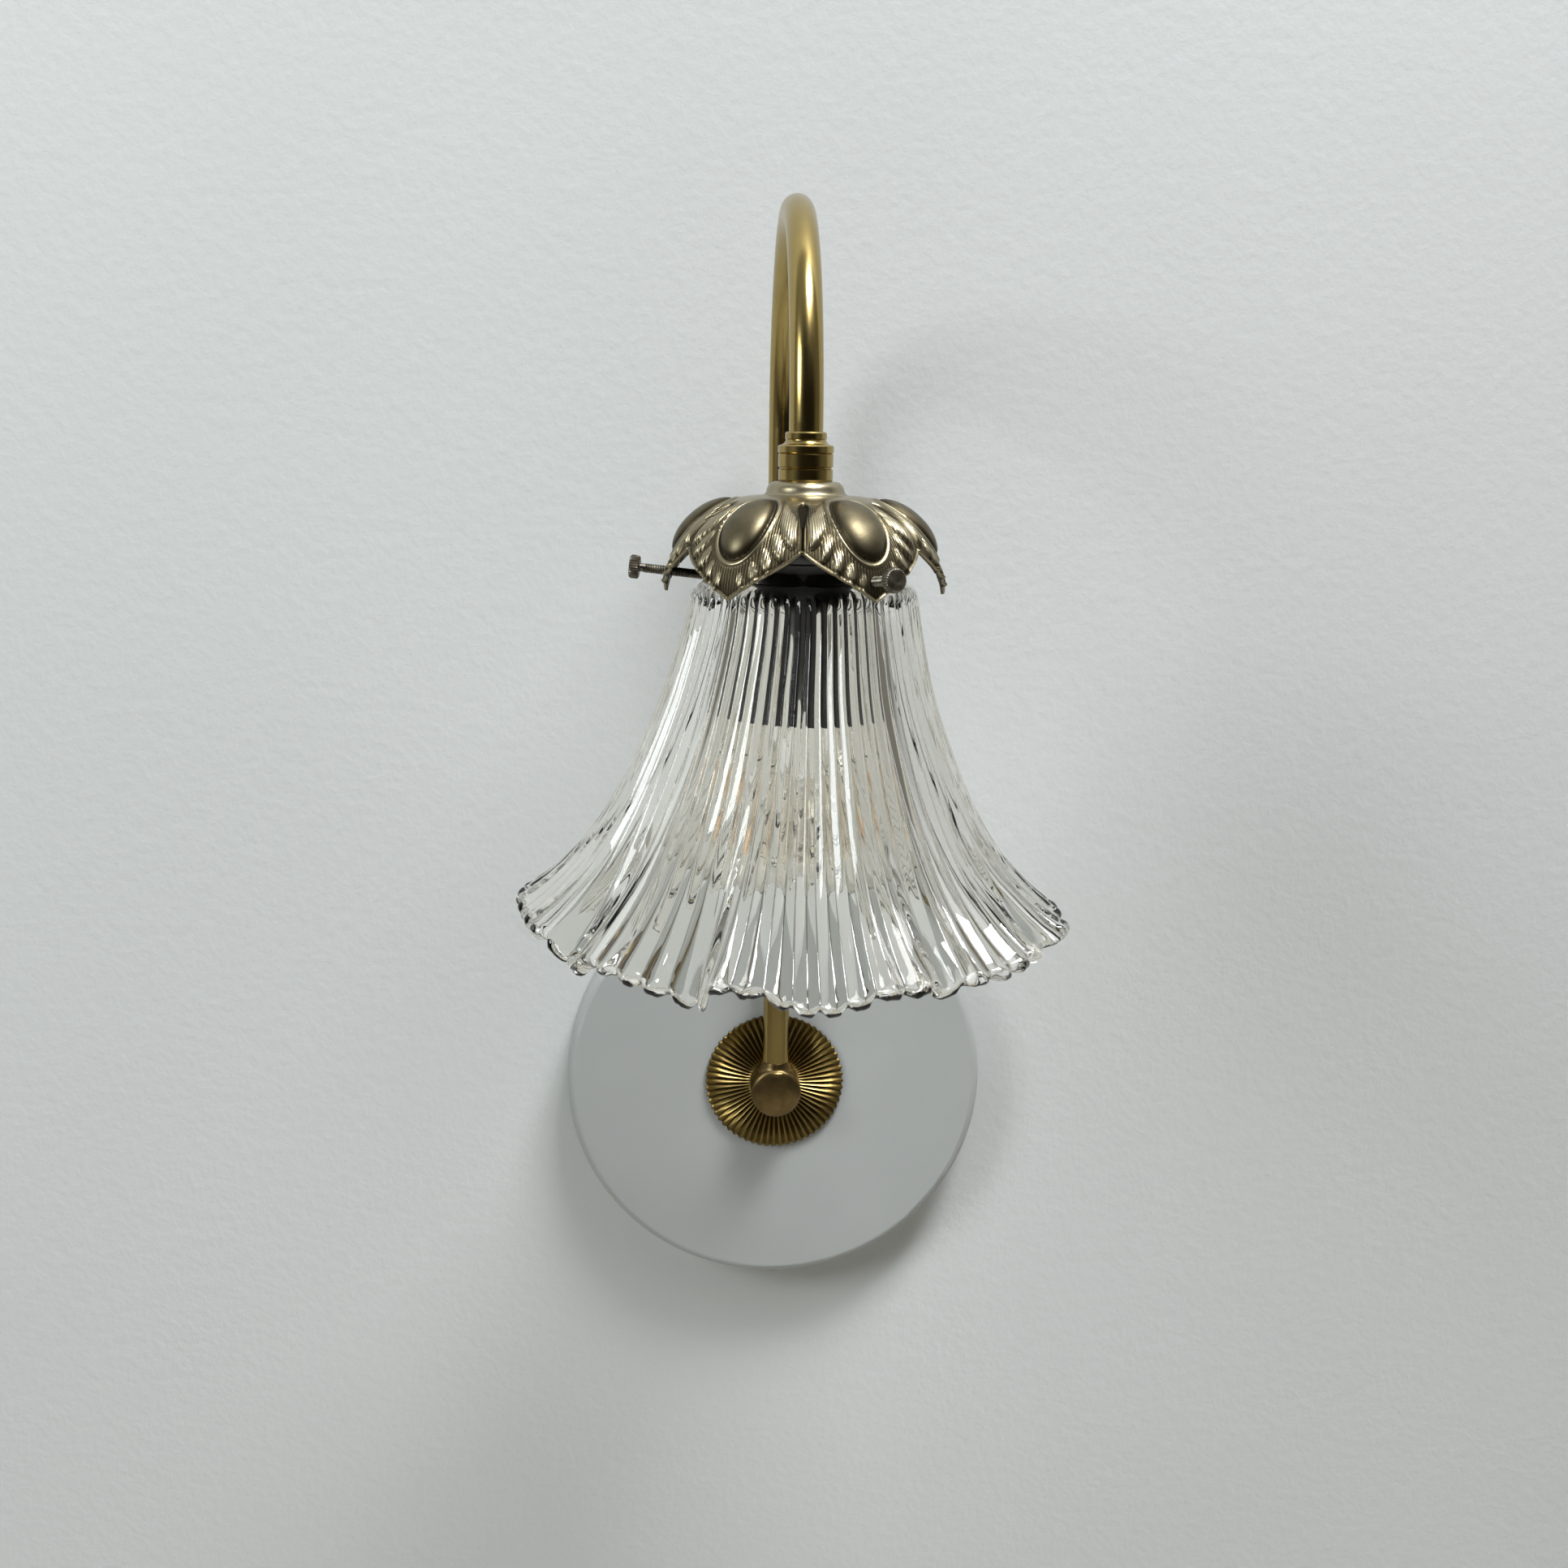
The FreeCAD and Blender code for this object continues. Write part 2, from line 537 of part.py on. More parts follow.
def lampholder():
    """Black lampholder: cap, body with its skirt, contact carrier, threaded shell and contacts."""
    keep(on_axis("holder_cap", [
        ("bore", "gallery_top - 4.7"), ("9", "gallery_top - 4.7"), ("cap_dia / 2", "228.6"),
        ("cap_dia / 2", "205.2"), ("cap_dia / 2 - 1.3", "205.2"), ("cap_dia / 2 - 1.3", "226.4"),
        ("bore", "226.4")]), "holder_cap")
    keep(on_axis("holder_body", [
        ("12.2", "213"), ("10.8", "213"), ("10.8", "203.2"), ("holder_dia / 2 - 1.5", "203.2"),
        ("holder_dia / 2 - 1.5", "holder_foot"), ("holder_dia / 2", "holder_foot"),
        ("holder_dia / 2", "204.4"), ("holder_dia / 2 - 0.6", "205"), ("12.2", "205")]),
        "holder_body")
    insert = on_axis("holder_insert", [
        ("1.6", "202"), ("1.6", "213.5"), ("10.7", "213.5"), ("10.7", "169"), ("7.5", "169"),
        ("7.5", "202")])
    screw_holes = new_sketch(insert, "XY_Plane", "terminal_holes")
    for x in ("5.8", "-5.8"):
        ring(screw_holes, x, "0", "1.25")
    cut_through(insert, screw_holes, "terminal_holes_cut")
    keep(insert, "holder_insert")
    keep(on_axis("threaded_shell", [
        ("shell_bore / 2", "171.5"), ("7.45", "171.5"), ("7.45", "199.5"),
        ("shell_bore / 2", "199.5")]), "threaded_shell")
    keep(on_axis("centre_contact", [
        ("0", "200.3"), ("2.6", "200.3"), ("2.6", "201.9"), ("1.5", "201.9"), ("1.5", "209"),
        ("0", "209")]), "centre_contact")
    parts = []
    for side, x in (("right", "5.8"), ("left", "-5.8")):
        shank = cylinder(side + "_terminal_shank", "1.2", "8.6")
        head = cylinder(side + "_terminal_head", "2.4", "1.8")
        stand_at(shank, x=x, y="-axis_out", z="205")
        stand_at(head, x=x, y="-axis_out", z="213.55")
        parts += [shank, head]
    keep(together("holder_terminals", parts), "holder_terminals")


def lamp():
    """Small round clear lamp: glass bulb, screw cap, insulator, contact, stem and filaments."""
    keep(on_axis("bulb_glass", [
        ("6", "177"), ("6", "171.6"),
        ("lamp_dia * 0.3", "lamp_centre + lamp_dia * 0.4", "-lamp_dia / 2"),
        ("0", "lamp_foot"), ("0", "lamp_foot + lamp_wall", "lamp_dia / 2 - lamp_wall"),
        ("(lamp_dia / 2 - lamp_wall) * 0.6", "lamp_centre + (lamp_dia / 2 - lamp_wall) * 0.8"),
        ("5.2", "171.4"), ("5.2", "177")]), "bulb_glass")
    keep(on_axis("bulb_cap", [
        ("3.4", "198.2"), ("5.2", "198.2"), ("lamp_cap_dia / 2", "196.2"),
        ("lamp_cap_dia / 2", "171.8"), ("6.15", "171.8"), ("6.15", "195.8"), ("4.9", "197.4"),
        ("3.4", "197.4")]), "bulb_cap")
    keep(on_axis("bulb_insulator", [
        ("0", "197.4"), ("3.35", "197.4"), ("3.35", "198.4"), ("2.4", "199"), ("0", "199")]),
        "bulb_insulator")
    keep(on_axis("bulb_contact", [
        ("0", "199.02"), ("2.2", "199.02"), ("1.5", "200"), ("0", "200")]), "bulb_contact")
    keep(on_axis("bulb_stem", [
        ("0", "176.5"), ("5.1", "176.5"), ("5.1", "174.5"), ("2.4", "168"), ("1.7", "153"),
        ("0", "151")]), "bulb_stem")
    parts = []
    for number in range(4):
        out = outward(45 + 90 * number)
        lean = (out * 3 + Vector(0, 0, -26)).normalize()
        filament = cylinder(f"filament_{number}", "0.75", "26", lean)
        filament.Placement.Base = out * 4 + Vector(0, -size("axis_out"), 149)
        parts.append(filament)
    keep(together("bulb_filaments", parts), "bulb_filaments")


def terminals():
    """Two-pole terminal block on the strap, its screws, and the earth screw."""
    block = doc.addObject("Part::Box", "block")
    tie(block, Length="block_width", Width="block_depth", Height="block_height")
    stand_at(block, x="-block_width / 2", y="-strap_thick - play - block_depth", z="block_foot")
    tools, screws = [], []
    into = Vector(0, 1, 0)
    for side, x in (("right", "pole_offset"), ("left", "-pole_offset")):
        passage = cylinder(side + "_passage", "wire_dia / 2 + 0.4", "block_height")
        stand_at(passage, x=x, y="-wire_out", z="block_foot")
        tools.append(passage)
        for level, up in (("upper", "block_foot + 12"), ("lower", "block_foot + 4")):
            hole = cylinder(f"{side}_{level}_hole", "1.6", "block_depth - 4", into)
            screw = cylinder(f"{side}_{level}_screw", "1.5", "block_depth - 5.4", into)
            stand_at(hole, x=x, y="-strap_thick - block_depth - 1", z=up)
            stand_at(screw, x=x, y="-strap_thick - block_depth + 0.3", z=up)
            tools.append(hole)
            screws.append(screw)
    keep(cut("terminal_block", block, tools), "terminal_block")
    keep(together("terminal_screws", screws), "terminal_screws")
    shank = cylinder("earth_shank", "side_screw_dia / 2", "strap_thick", into)
    stand_at(shank, y="-strap_thick", z="earth_up")
    head = cylinder("earth_head", "side_head_dia / 2", "side_head_height", into)
    stand_at(head, y="-strap_thick - side_head_height", z="earth_up")
    keep(together("earth_screw", [shank, head]), "earth_screw")


def wire(name, side):
    """Insulated wire through the arm: terminal block, knuckle, tube, coupler and lampholder."""
    x, radius = side * size("wire_offset"), size("wire_dia / 2")
    front, back, up = -size("axis_out"), -size("tube_out"), size("arc_up")
    bend, turn = 6.0, 3.0
    exit_y = -size("wire_out")

    def at(y, z):
        return Vector(x, y, z)

    over = at((front + back) / 2, up + size("arc_radius"))
    eighth = math.sqrt(0.5)
    path = Part.Wire([
        Part.makeLine(at(front, size("wire_top")), at(front, up)),
        Part.Arc(at(front, up), over, at(back, up)).toShape(),
        Part.makeLine(at(back, up), at(back, bend)),
        Part.Arc(at(back, bend), at(back + bend * (1 - eighth), bend * (1 - eighth)),
                 at(back + bend, 0)).toShape(),
        Part.makeLine(at(back + bend, 0), at(exit_y - turn, 0)),
        Part.Arc(at(exit_y - turn, 0), at(exit_y - turn * (1 - eighth), -turn * (1 - eighth)),
                 at(exit_y, -turn)).toShape()])
    start = Part.Wire([Part.makeCircle(radius, at(front, size("wire_top")), Vector(0, 0, 1))])
    solid = path.makePipeShell([start], True, False)
    fork = at(exit_y, -turn)
    mouth = Vector(side * size("pole_offset"), exit_y, size("block_foot + block_height + 1"))
    end = mouth - Vector(0, 0, 8)
    for foot, tip in ((fork, mouth), (mouth, end)):
        run = tip - foot
        solid = solid.fuse(Part.makeCylinder(radius, run.Length, foot, run))
        solid = solid.fuse(Part.makeSphere(radius, foot))
    thing = doc.addObject("Part::Feature", name)
    thing.Shape = solid
    return keep(thing, name)


wall_plate()
mounting_bar()
plate_side_screws()
rosette()
wall_nipple()
lock_washer()
hex_nut("wall_lock_nut", Vector(0, 1, 0), y="-plate_inside + washer_thick + play")
knuckle()
arm_tube()
coupler()
gallery_nipple()
hex_nut("gallery_lock_nut", Vector(0, 0, -1), y="-axis_out", z="gallery_top - 1.6 - play")
leaf_gallery()
thumb_screw("thumb_screw_front", 0)
thumb_screw("thumb_screw_back", 1)
thumb_screw("thumb_screw_left", 2)
glass_shade()
lampholder()
lamp()
terminals()
wire("wire_live", 1)
wire("wire_neutral", -1)

doc.recompute()
for thing in doc.Objects:
    if "Invalid" in thing.State or "Error" in thing.State:
        raise RuntimeError(f"{thing.Name} did not build")
for node in NODES:
    if node.Shape.isNull() or not node.Shape.isValid():
        raise RuntimeError(f"{node.Label} has no valid shape")
os.makedirs("parts", exist_ok=True)
for node in NODES:
    node.Shape.exportStep(f"parts/{node.Label}.step")
    print(node.Label, round(node.Shape.Volume, 1), len(node.Shape.Solids))
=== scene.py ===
import math

import bmesh
import bpy
from mathutils import Matrix, Vector
from mathutils.noise import noise


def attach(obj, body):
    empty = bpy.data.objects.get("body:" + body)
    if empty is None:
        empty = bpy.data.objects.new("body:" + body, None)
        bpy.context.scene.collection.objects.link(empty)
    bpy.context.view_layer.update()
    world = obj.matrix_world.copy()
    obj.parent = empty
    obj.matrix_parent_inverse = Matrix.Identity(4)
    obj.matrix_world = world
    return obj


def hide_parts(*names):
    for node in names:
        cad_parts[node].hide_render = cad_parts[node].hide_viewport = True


# A swan-neck wall light, dressed piece by piece from the wall outwards. Each piece is drawn in
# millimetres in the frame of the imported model: +Z up, +X right, +Y into the wall.
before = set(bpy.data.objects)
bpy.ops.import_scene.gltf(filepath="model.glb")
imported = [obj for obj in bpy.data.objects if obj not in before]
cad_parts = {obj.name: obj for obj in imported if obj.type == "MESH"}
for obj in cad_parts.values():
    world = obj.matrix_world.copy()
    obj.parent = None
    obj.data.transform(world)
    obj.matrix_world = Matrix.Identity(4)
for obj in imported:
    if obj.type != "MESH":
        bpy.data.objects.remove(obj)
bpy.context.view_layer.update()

# ---------------------------------------------------------------------------------------------
# Wall plate: a shallow round cup of spun steel, powder coated in a matt pale grey. It stands on
# its rim against the wall and is held by two screws through the rim.


def linear(hex_colour):
    """An sRGB hex colour as the linear RGBA that a node takes."""
    parts = [int(hex_colour[i:i + 2], 16) / 255 for i in (1, 3, 5)]
    return (*(c / 12.92 if c <= 0.04045 else ((c + 0.055) / 1.055) ** 2.4 for c in parts), 1.0)


def finish(name):
    """An empty material with its Principled shader and its output, to build a finish on."""
    material = bpy.data.materials.new(name)
    material.use_nodes = True
    return material, material.node_tree.nodes["Principled BSDF"]


def add(material, kind, settings=None, feeds=None, stops=None):
    """Adds a node. settings are its own properties, feeds its sockets' values or the outputs that
    lead into them, and stops the colours along a ramp."""
    tree = material.node_tree
    made = tree.nodes.new("ShaderNode" + kind)
    for key, value in (settings or {}).items():
        setattr(made, key, value)
    for key, value in (feeds or {}).items():
        if isinstance(value, bpy.types.NodeSocket):
            tree.links.new(value, made.inputs[key])
        else:
            made.inputs[key].default_value = value
    if stops:
        ramp = made.color_ramp.elements
        while len(ramp) < len(stops):
            ramp.new(0.5)
        for element, (place, colour) in zip(ramp, stops):
            element.position = place
            element.color = linear(colour)
    return made


def coat_node(node_name, material):
    """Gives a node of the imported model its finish."""
    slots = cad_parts[node_name].data.materials
    slots.clear()
    slots.append(material)


def mottled(name, scale, detail, stops, rough, metallic=0.0):
    """A finish whose tint wanders with one fine noise. rough is a roughness, or the two that the
    same noise runs between."""
    material, shader = finish(name)
    place = add(material, "TexCoord")
    blots = add(material, "TexNoise", feeds={"Vector": place.outputs["Object"], "Scale": scale,
                                             "Detail": detail})
    tint = add(material, "ValToRGB", feeds={"Fac": blots.outputs["Fac"]}, stops=stops)
    material.node_tree.links.new(tint.outputs["Color"], shader.inputs["Base Color"])
    if isinstance(rough, tuple):
        dull = add(material, "MapRange", feeds={"Value": blots.outputs["Fac"], "To Min": rough[0],
                                                "To Max": rough[1]})
        material.node_tree.links.new(dull.outputs["Result"], shader.inputs["Roughness"])
    else:
        shader.inputs["Roughness"].default_value = rough
    shader.inputs["Metallic"].default_value = metallic
    return material


# Powder coat: a matt skin with a faint orange peel, about 1.2 mm from crest to crest.
powder_coat, shader = finish("powder_coated_steel")
place = add(powder_coat, "TexCoord")
peel = add(powder_coat, "TexNoise", feeds={"Vector": place.outputs["Object"], "Scale": 800.0, "Detail": 2.0})
cloud = add(powder_coat, "TexNoise", feeds={"Vector": place.outputs["Object"], "Scale": 18.0, "Detail": 3.0})
tint = add(powder_coat, "ValToRGB", feeds={"Fac": cloud.outputs["Fac"]},
           stops=[(0.3, "#ABAFAD"), (0.7, "#B2B6B4")])
dimple = add(powder_coat, "Bump", feeds={"Height": peel.outputs["Fac"], "Strength": 0.12, "Distance": 0.0002})
powder_coat.node_tree.links.new(tint.outputs["Color"], shader.inputs["Base Color"])
powder_coat.node_tree.links.new(dimple.outputs["Normal"], shader.inputs["Normal"])
shader.inputs["Roughness"].default_value = 0.55
coat_node("wall_plate", powder_coat)

# ---------------------------------------------------------------------------------------------
# Strap, screws, nuts and threaded tubes: pressed and turned steel with bright zinc plating. They
# sit behind the plate and inside the lamp, and hold every other piece.

zinc = mottled("zinc_plated_steel", 260.0, 3.0, [(0.3, "#9FA3A8"), (0.75, "#C2C4C3")], (0.24, 0.42), 1.0)
for steel_node in ("mounting_bar", "plate_side_screws", "wall_nipple", "lock_washer", "wall_lock_nut",
                   "gallery_nipple", "gallery_lock_nut", "terminal_screws", "earth_screw"):
    coat_node(steel_node, zinc)

# ---------------------------------------------------------------------------------------------
# Terminal block and the two inner wires: moulded nylon, and flexible copper in coloured PVC. The
# wires run through the hollow arm to the lampholder.

for wire_part, colours in (("terminal_block", ("#DAD9D3", "#E3E2DD")), ("wire_live", ("#4A2A17", "#5A3520")),
                           ("wire_neutral", ("#1B3F86", "#234C9A"))):
    coat_node(wire_part, mottled(wire_part + "_plastic", 400.0, 2.0, [(0.3, colours[0]), (0.7, colours[1])],
                                 0.45))

# ---------------------------------------------------------------------------------------------
# Rosette: a stamped brass disc with sixty V flutes that run out to a scalloped edge. It lies on
# the plate, clamped between the knuckle and the nut behind.

FLUTES = 60
FLUTE_STEPS = 10
ROSETTE_OUT, ROSETTE_HUB, ROSETTE_BORE = 27.4, 9.2, 5.05
ROSETTE_BACK, ROSETTE_THICK = -15.0, 2.6
FLUTE_DEPTH, EDGE_DROP, SCALLOP = 1.15, 0.55, 0.75


def join(mesh, part):
    """Moves all of a part's geometry into a mesh."""
    carrier = bpy.data.meshes.new("carrier")
    part.to_mesh(carrier)
    part.free()
    mesh.from_mesh(carrier)
    bpy.data.meshes.remove(carrier)


def turn(mesh, outline, steps):
    """Lathe work: spins a closed outline of (radius, height) points round the Z axis. A wedge is
    spun first and then doubled until it closes, which is quicker than one long spin."""
    wedge = bmesh.new()
    doublings = 0
    while steps % 2 == 0 and steps > 40:
        steps, doublings = steps // 2, doublings + 1
    swing = math.tau / 2 ** doublings
    corners = [wedge.verts.new((radius, 0.0, height)) for radius, height in outline]
    edges = [wedge.edges.new(pair) for pair in zip(corners, corners[1:] + corners[:1])]
    bmesh.ops.spin(wedge, geom=corners + edges, cent=(0, 0, 0), axis=(0, 0, 1), dvec=(0, 0, 0),
                   angle=swing, steps=steps, use_merge=not doublings, use_duplicate=False)
    for _ in range(doublings):
        twin = bmesh.ops.duplicate(wedge, geom=wedge.verts[:] + wedge.edges[:] + wedge.faces[:])["geom"]
        bmesh.ops.rotate(wedge, verts=[part for part in twin if isinstance(part, bmesh.types.BMVert)],
                         cent=(0, 0, 0), matrix=Matrix.Rotation(swing, 3, "Z"))
        swing *= 2
    bmesh.ops.remove_doubles(wedge, verts=wedge.verts, dist=0.001)
    join(mesh, wedge)


def weld(mesh):
    """Closes the poles and the seam, and turns every face outwards."""
    bmesh.ops.remove_doubles(mesh, verts=mesh.verts, dist=0.002)
    bmesh.ops.recalc_face_normals(mesh, faces=mesh.faces)


def fit(name, mesh, material, body, nodes, crease=35.0):
    """Sets a finished mesh, drawn in millimetres, in the frame in metres, and hangs it on its body."""
    bmesh.ops.scale(mesh, vec=(0.001, 0.001, 0.001), verts=mesh.verts)
    data = bpy.data.meshes.new(name)
    mesh.to_mesh(data)
    mesh.free()
    data.shade_smooth()
    data.set_sharp_from_angle(angle=math.radians(crease))
    data.materials.append(material)
    piece = bpy.data.objects.new(name, data)
    bpy.context.scene.collection.objects.link(piece)
    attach(piece, body)
    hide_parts(*nodes)


def ease(low, high, value):
    """A smooth step from 0 at low to 1 at high."""
    share = min(max((value - low) / (high - low), 0.0), 1.0)
    return share * share * (3 - 2 * share)


rosette = bmesh.new()
face_rows = [ROSETTE_OUT - 0.15 - i * (ROSETTE_OUT - 0.15 - ROSETTE_HUB) / 12 for i in range(13)]
turn(rosette, [(ROSETTE_BORE, 0.0), (ROSETTE_BORE, ROSETTE_THICK), (8.7, ROSETTE_THICK)]
     + [(radius, ROSETTE_THICK) for radius in reversed(face_rows)]
     + [(ROSETTE_OUT, 2.45), (ROSETTE_OUT, 0.9), (ROSETTE_OUT - 0.8, 0.0)], FLUTES * FLUTE_STEPS)
for vert in rosette.verts:
    radius = math.hypot(vert.co.x, vert.co.y)
    turned_by = math.atan2(vert.co.y, vert.co.x) / math.tau * FLUTES
    ridge = abs((turned_by % 1.0) * 2 - 1)            # 1 on a ridge, 0 at the foot of a V flute
    ridge = 0.5 * ridge + 0.5 * ridge * ridge * (3 - 2 * ridge)
    reach = ease(ROSETTE_HUB - 0.3, ROSETTE_HUB + 1.5, radius)
    if vert.co.z > 2.0:
        vert.co.z -= FLUTE_DEPTH * (1 - ridge) * reach * (0.55 + 0.45 * radius / ROSETTE_OUT)
        vert.co.z -= EDGE_DROP * ease(0.72, 1.0, radius / ROSETTE_OUT) * ridge
    if radius > ROSETTE_OUT - 0.5:
        narrow = (radius - SCALLOP * (1 - ridge)) / radius
        vert.co.x *= narrow
        vert.co.y *= narrow
weld(rosette)
bmesh.ops.transform(rosette, verts=rosette.verts,
                    matrix=Matrix.Translation((0, ROSETTE_BACK, 0)) @ Matrix.Rotation(math.pi / 2, 4, "X"))

# Stamped brass under clear lacquer, golden on the ridges. Down in the flutes it is painted a deep
# olive brown, a painted shade in the grooves.
fluted_brass, shader = finish("stamped_lacquered_brass")
place = add(fluted_brass, "TexCoord")
apart = add(fluted_brass, "SeparateXYZ", feeds={"Vector": place.outputs["Object"]})
# painted shade: the deeper into a flute, the darker the brass
depth = add(fluted_brass, "MapRange", feeds={"Value": apart.outputs["Y"], "From Min": -0.0176,
                                             "From Max": -0.0159})
age = add(fluted_brass, "TexNoise", feeds={"Vector": place.outputs["Object"], "Scale": 190.0, "Detail": 3.0})
# the brass's random tone, with the painted shade of the flutes added to it
age_and_flute_shade = add(fluted_brass, "Math", {"operation": "MULTIPLY_ADD"},
           {0: age.outputs["Fac"], 1: 0.35, 2: depth.outputs["Result"]})
tint = add(fluted_brass, "ValToRGB", feeds={"Fac": age_and_flute_shade.outputs["Value"]},
           stops=[(0.15, "#9A8654"), (0.5, "#736135"), (1.0, "#3E3219")])
fluted_brass.node_tree.links.new(tint.outputs["Color"], shader.inputs["Base Color"])
shader.inputs["Metallic"].default_value = 1.0
shader.inputs["Roughness"].default_value = 0.33
fit("fluted_rosette", rosette, fluted_brass, "fixture", ["rosette"], crease=50)

# ---------------------------------------------------------------------------------------------
# Knuckle: a solid turned brass elbow with a domed face, screwed on the wall tube. Its edge is
# rounded over and bright with wear, and a small fillet of solder rises round the foot of the arm.

KNUCKLE_OUT, TUBE_OUT = 9.7, 25.0
knuckle = bmesh.new()
turn(knuckle, [(5.05, 17.6), (9.35, 17.6), (KNUCKLE_OUT, 17.95), (KNUCKLE_OUT, 29.9), (9.62, 30.4),
               (9.38, 30.85), (9.0, 31.2), (8.5, 31.42), (7.0, 31.85), (5.0, 32.25), (2.5, 32.5), (0.0, 32.6),
               (0.0, 25.0), (5.05, 25.0)], 96)
bmesh.ops.transform(knuckle, verts=knuckle.verts, matrix=Matrix.Rotation(math.pi / 2, 4, "X"))
fillet = bmesh.new()
turn(fillet, [(4.9, 6.0), (6.9, 6.0), (6.9, 8.3), (6.1, 9.0), (5.7, 9.9), (5.45, 10.9), (5.2, 11.6),
              (4.9, 11.7)], 64)
bmesh.ops.transform(fillet, verts=fillet.verts, matrix=Matrix.Translation((0, -TUBE_OUT, 0)))
join(knuckle, fillet)
weld(knuckle)

aged_brass, shader = finish("aged_turned_brass")
place = add(aged_brass, "TexCoord")
blot = add(aged_brass, "TexNoise", feeds={"Vector": place.outputs["Object"], "Scale": 140.0, "Detail": 4.0,
                                          "Roughness": 0.6})
tint = add(aged_brass, "ValToRGB", feeds={"Fac": blot.outputs["Fac"]},
           stops=[(0.3, "#5F4F31"), (0.55, "#756341"), (0.8, "#8A7753")])
centred = add(aged_brass, "Mapping", feeds={"Vector": place.outputs["Object"], "Rotation": (math.pi / 2, 0, 0)})
rings = add(aged_brass, "TexWave", {"wave_type": "RINGS", "rings_direction": "Z"},
            {"Vector": centred.outputs["Vector"], "Scale": 480.0, "Distortion": 0.3})
lathe = add(aged_brass, "Bump", feeds={"Height": rings.outputs["Fac"], "Strength": 0.04, "Distance": 0.0001})
dull = add(aged_brass, "MapRange", feeds={"Value": blot.outputs["Fac"], "To Min": 0.3, "To Max": 0.44})
aged_brass.node_tree.links.new(tint.outputs["Color"], shader.inputs["Base Color"])
aged_brass.node_tree.links.new(lathe.outputs["Normal"], shader.inputs["Normal"])
aged_brass.node_tree.links.new(dull.outputs["Result"], shader.inputs["Roughness"])
shader.inputs["Metallic"].default_value = 1.0
fit("domed_knuckle", knuckle, aged_brass, "fixture", ["knuckle"], crease=40)

# ---------------------------------------------------------------------------------------------
# Arm: 10 mm brass lamp tube, bent in a half circle and soldered into the knuckle. It is polished
# along its length and lacquered, so its reflections are long soft bands.

polished_brass, shader = finish("polished_lacquered_brass")
place = add(polished_brass, "TexCoord")
long_way = add(polished_brass, "Mapping", feeds={"Vector": place.outputs["Object"], "Scale": (1.0, 1.0, 0.12)})
rub = add(polished_brass, "TexNoise", feeds={"Vector": long_way.outputs["Vector"], "Scale": 700.0,
                                             "Detail": 2.0})
cloud = add(polished_brass, "TexNoise", feeds={"Vector": place.outputs["Object"], "Scale": 60.0, "Detail": 3.0})
tint = add(polished_brass, "ValToRGB", feeds={"Fac": cloud.outputs["Fac"]},
           stops=[(0.3, "#A48F59"), (0.7, "#AE995F")])
dull = add(polished_brass, "MapRange", feeds={"Value": rub.outputs["Fac"], "To Min": 0.19, "To Max": 0.25})
polished_brass.node_tree.links.new(tint.outputs["Color"], shader.inputs["Base Color"])
polished_brass.node_tree.links.new(dull.outputs["Result"], shader.inputs["Roughness"])
shader.inputs["Metallic"].default_value = 1.0
coat_node("arm_tube", polished_brass)
coat_node("coupler", polished_brass)

# ---------------------------------------------------------------------------------------------
# Leaf gallery: one pressing of thin brass, a small dome over six acanthus petals. Each petal has
# a raised egg-shaped boss in a thin rim, with chased leaflets down both sides to its tip. It has
# an antique finish: dark in the hollows, rubbed pale on the high places. The bosses are painted
# darker all over, a painted reflection of the dim room.

AXIS_OUT = -160.0
PETAL_TURN = -4.7
ROLL, ROLL_OUT, ROLL_UP = 28.4, 12.8, 204.6     # the petals roll over on this radius, round this place
HALF_PETAL, NOTCH_UP = 30.0, 218.4              # degrees, and how high the petals part
LEAF_WALL = 1.5


def petal_edge(phi):
    """How far down the roll, in millimetres, the petal's edge is at phi degrees from its middle."""
    across = abs(phi) / HALF_PETAL
    up = NOTCH_UP + (ROLL_UP - NOTCH_UP) * (1 - across) ** 0.86
    up += 0.9 * math.sin(math.pi * across) * (1 - across)
    return ROLL * math.acos(min((up - ROLL_UP) / ROLL, 1.0))


def almond(x, s, start, end, half_width, height, blunt=0.5):
    """The height of one leaflet at (x, s): a smooth ridge from start to end, pointed at its end."""
    dx, ds = end[0] - start[0], end[1] - start[1]
    length = math.hypot(dx, ds)
    along = ((x - start[0]) * dx + (s - start[1]) * ds) / (length * length)
    if not -0.1 < along < 1.02:
        return 0.0
    aside = ((x - start[0]) * ds - (s - start[1]) * dx) / length
    swell = max(along, 0.0) ** blunt * max(1 - along, 0.0) ** 0.62 * 1.75
    width = half_width * min(swell, 1.0) + 1e-6
    if abs(aside) >= width:
        return 0.0
    ridge = math.sqrt(1 - (aside / width) ** 2)
    return height * ridge * (0.15 + 0.85 * min(max(along * 1.25, 0.0), 1.0)) * min(swell, 1.0) ** 0.5


# Leaflets on one side of a petal, from the top down: the start and the end as degrees from the
# petal's middle and millimetres down the roll, then the half width and the height.
LEAFLETS = [((15.5, 10.0), (23.5, 20.5), 1.5, 0.8), ((20.6, 15.0), (26.3, 29.6), 2.75, 1.7),
            ((17.0, 24.0), (21.8, 33.6), 1.9, 1.45), ((13.4, 29.2), (16.9, 37.6), 1.8, 1.4),
            ((9.2, 33.2), (11.6, 40.9), 1.65, 1.25), ((4.6, 36.4), (6.1, 43.1), 1.4, 1.1)]
EGG_TOP, EGG_FOOT, EGG_HALF, EGG_HIGH = 8.6, 32.6, 6.9, 2.5
CHASING = 1.25      # degrees from one chased line to the next


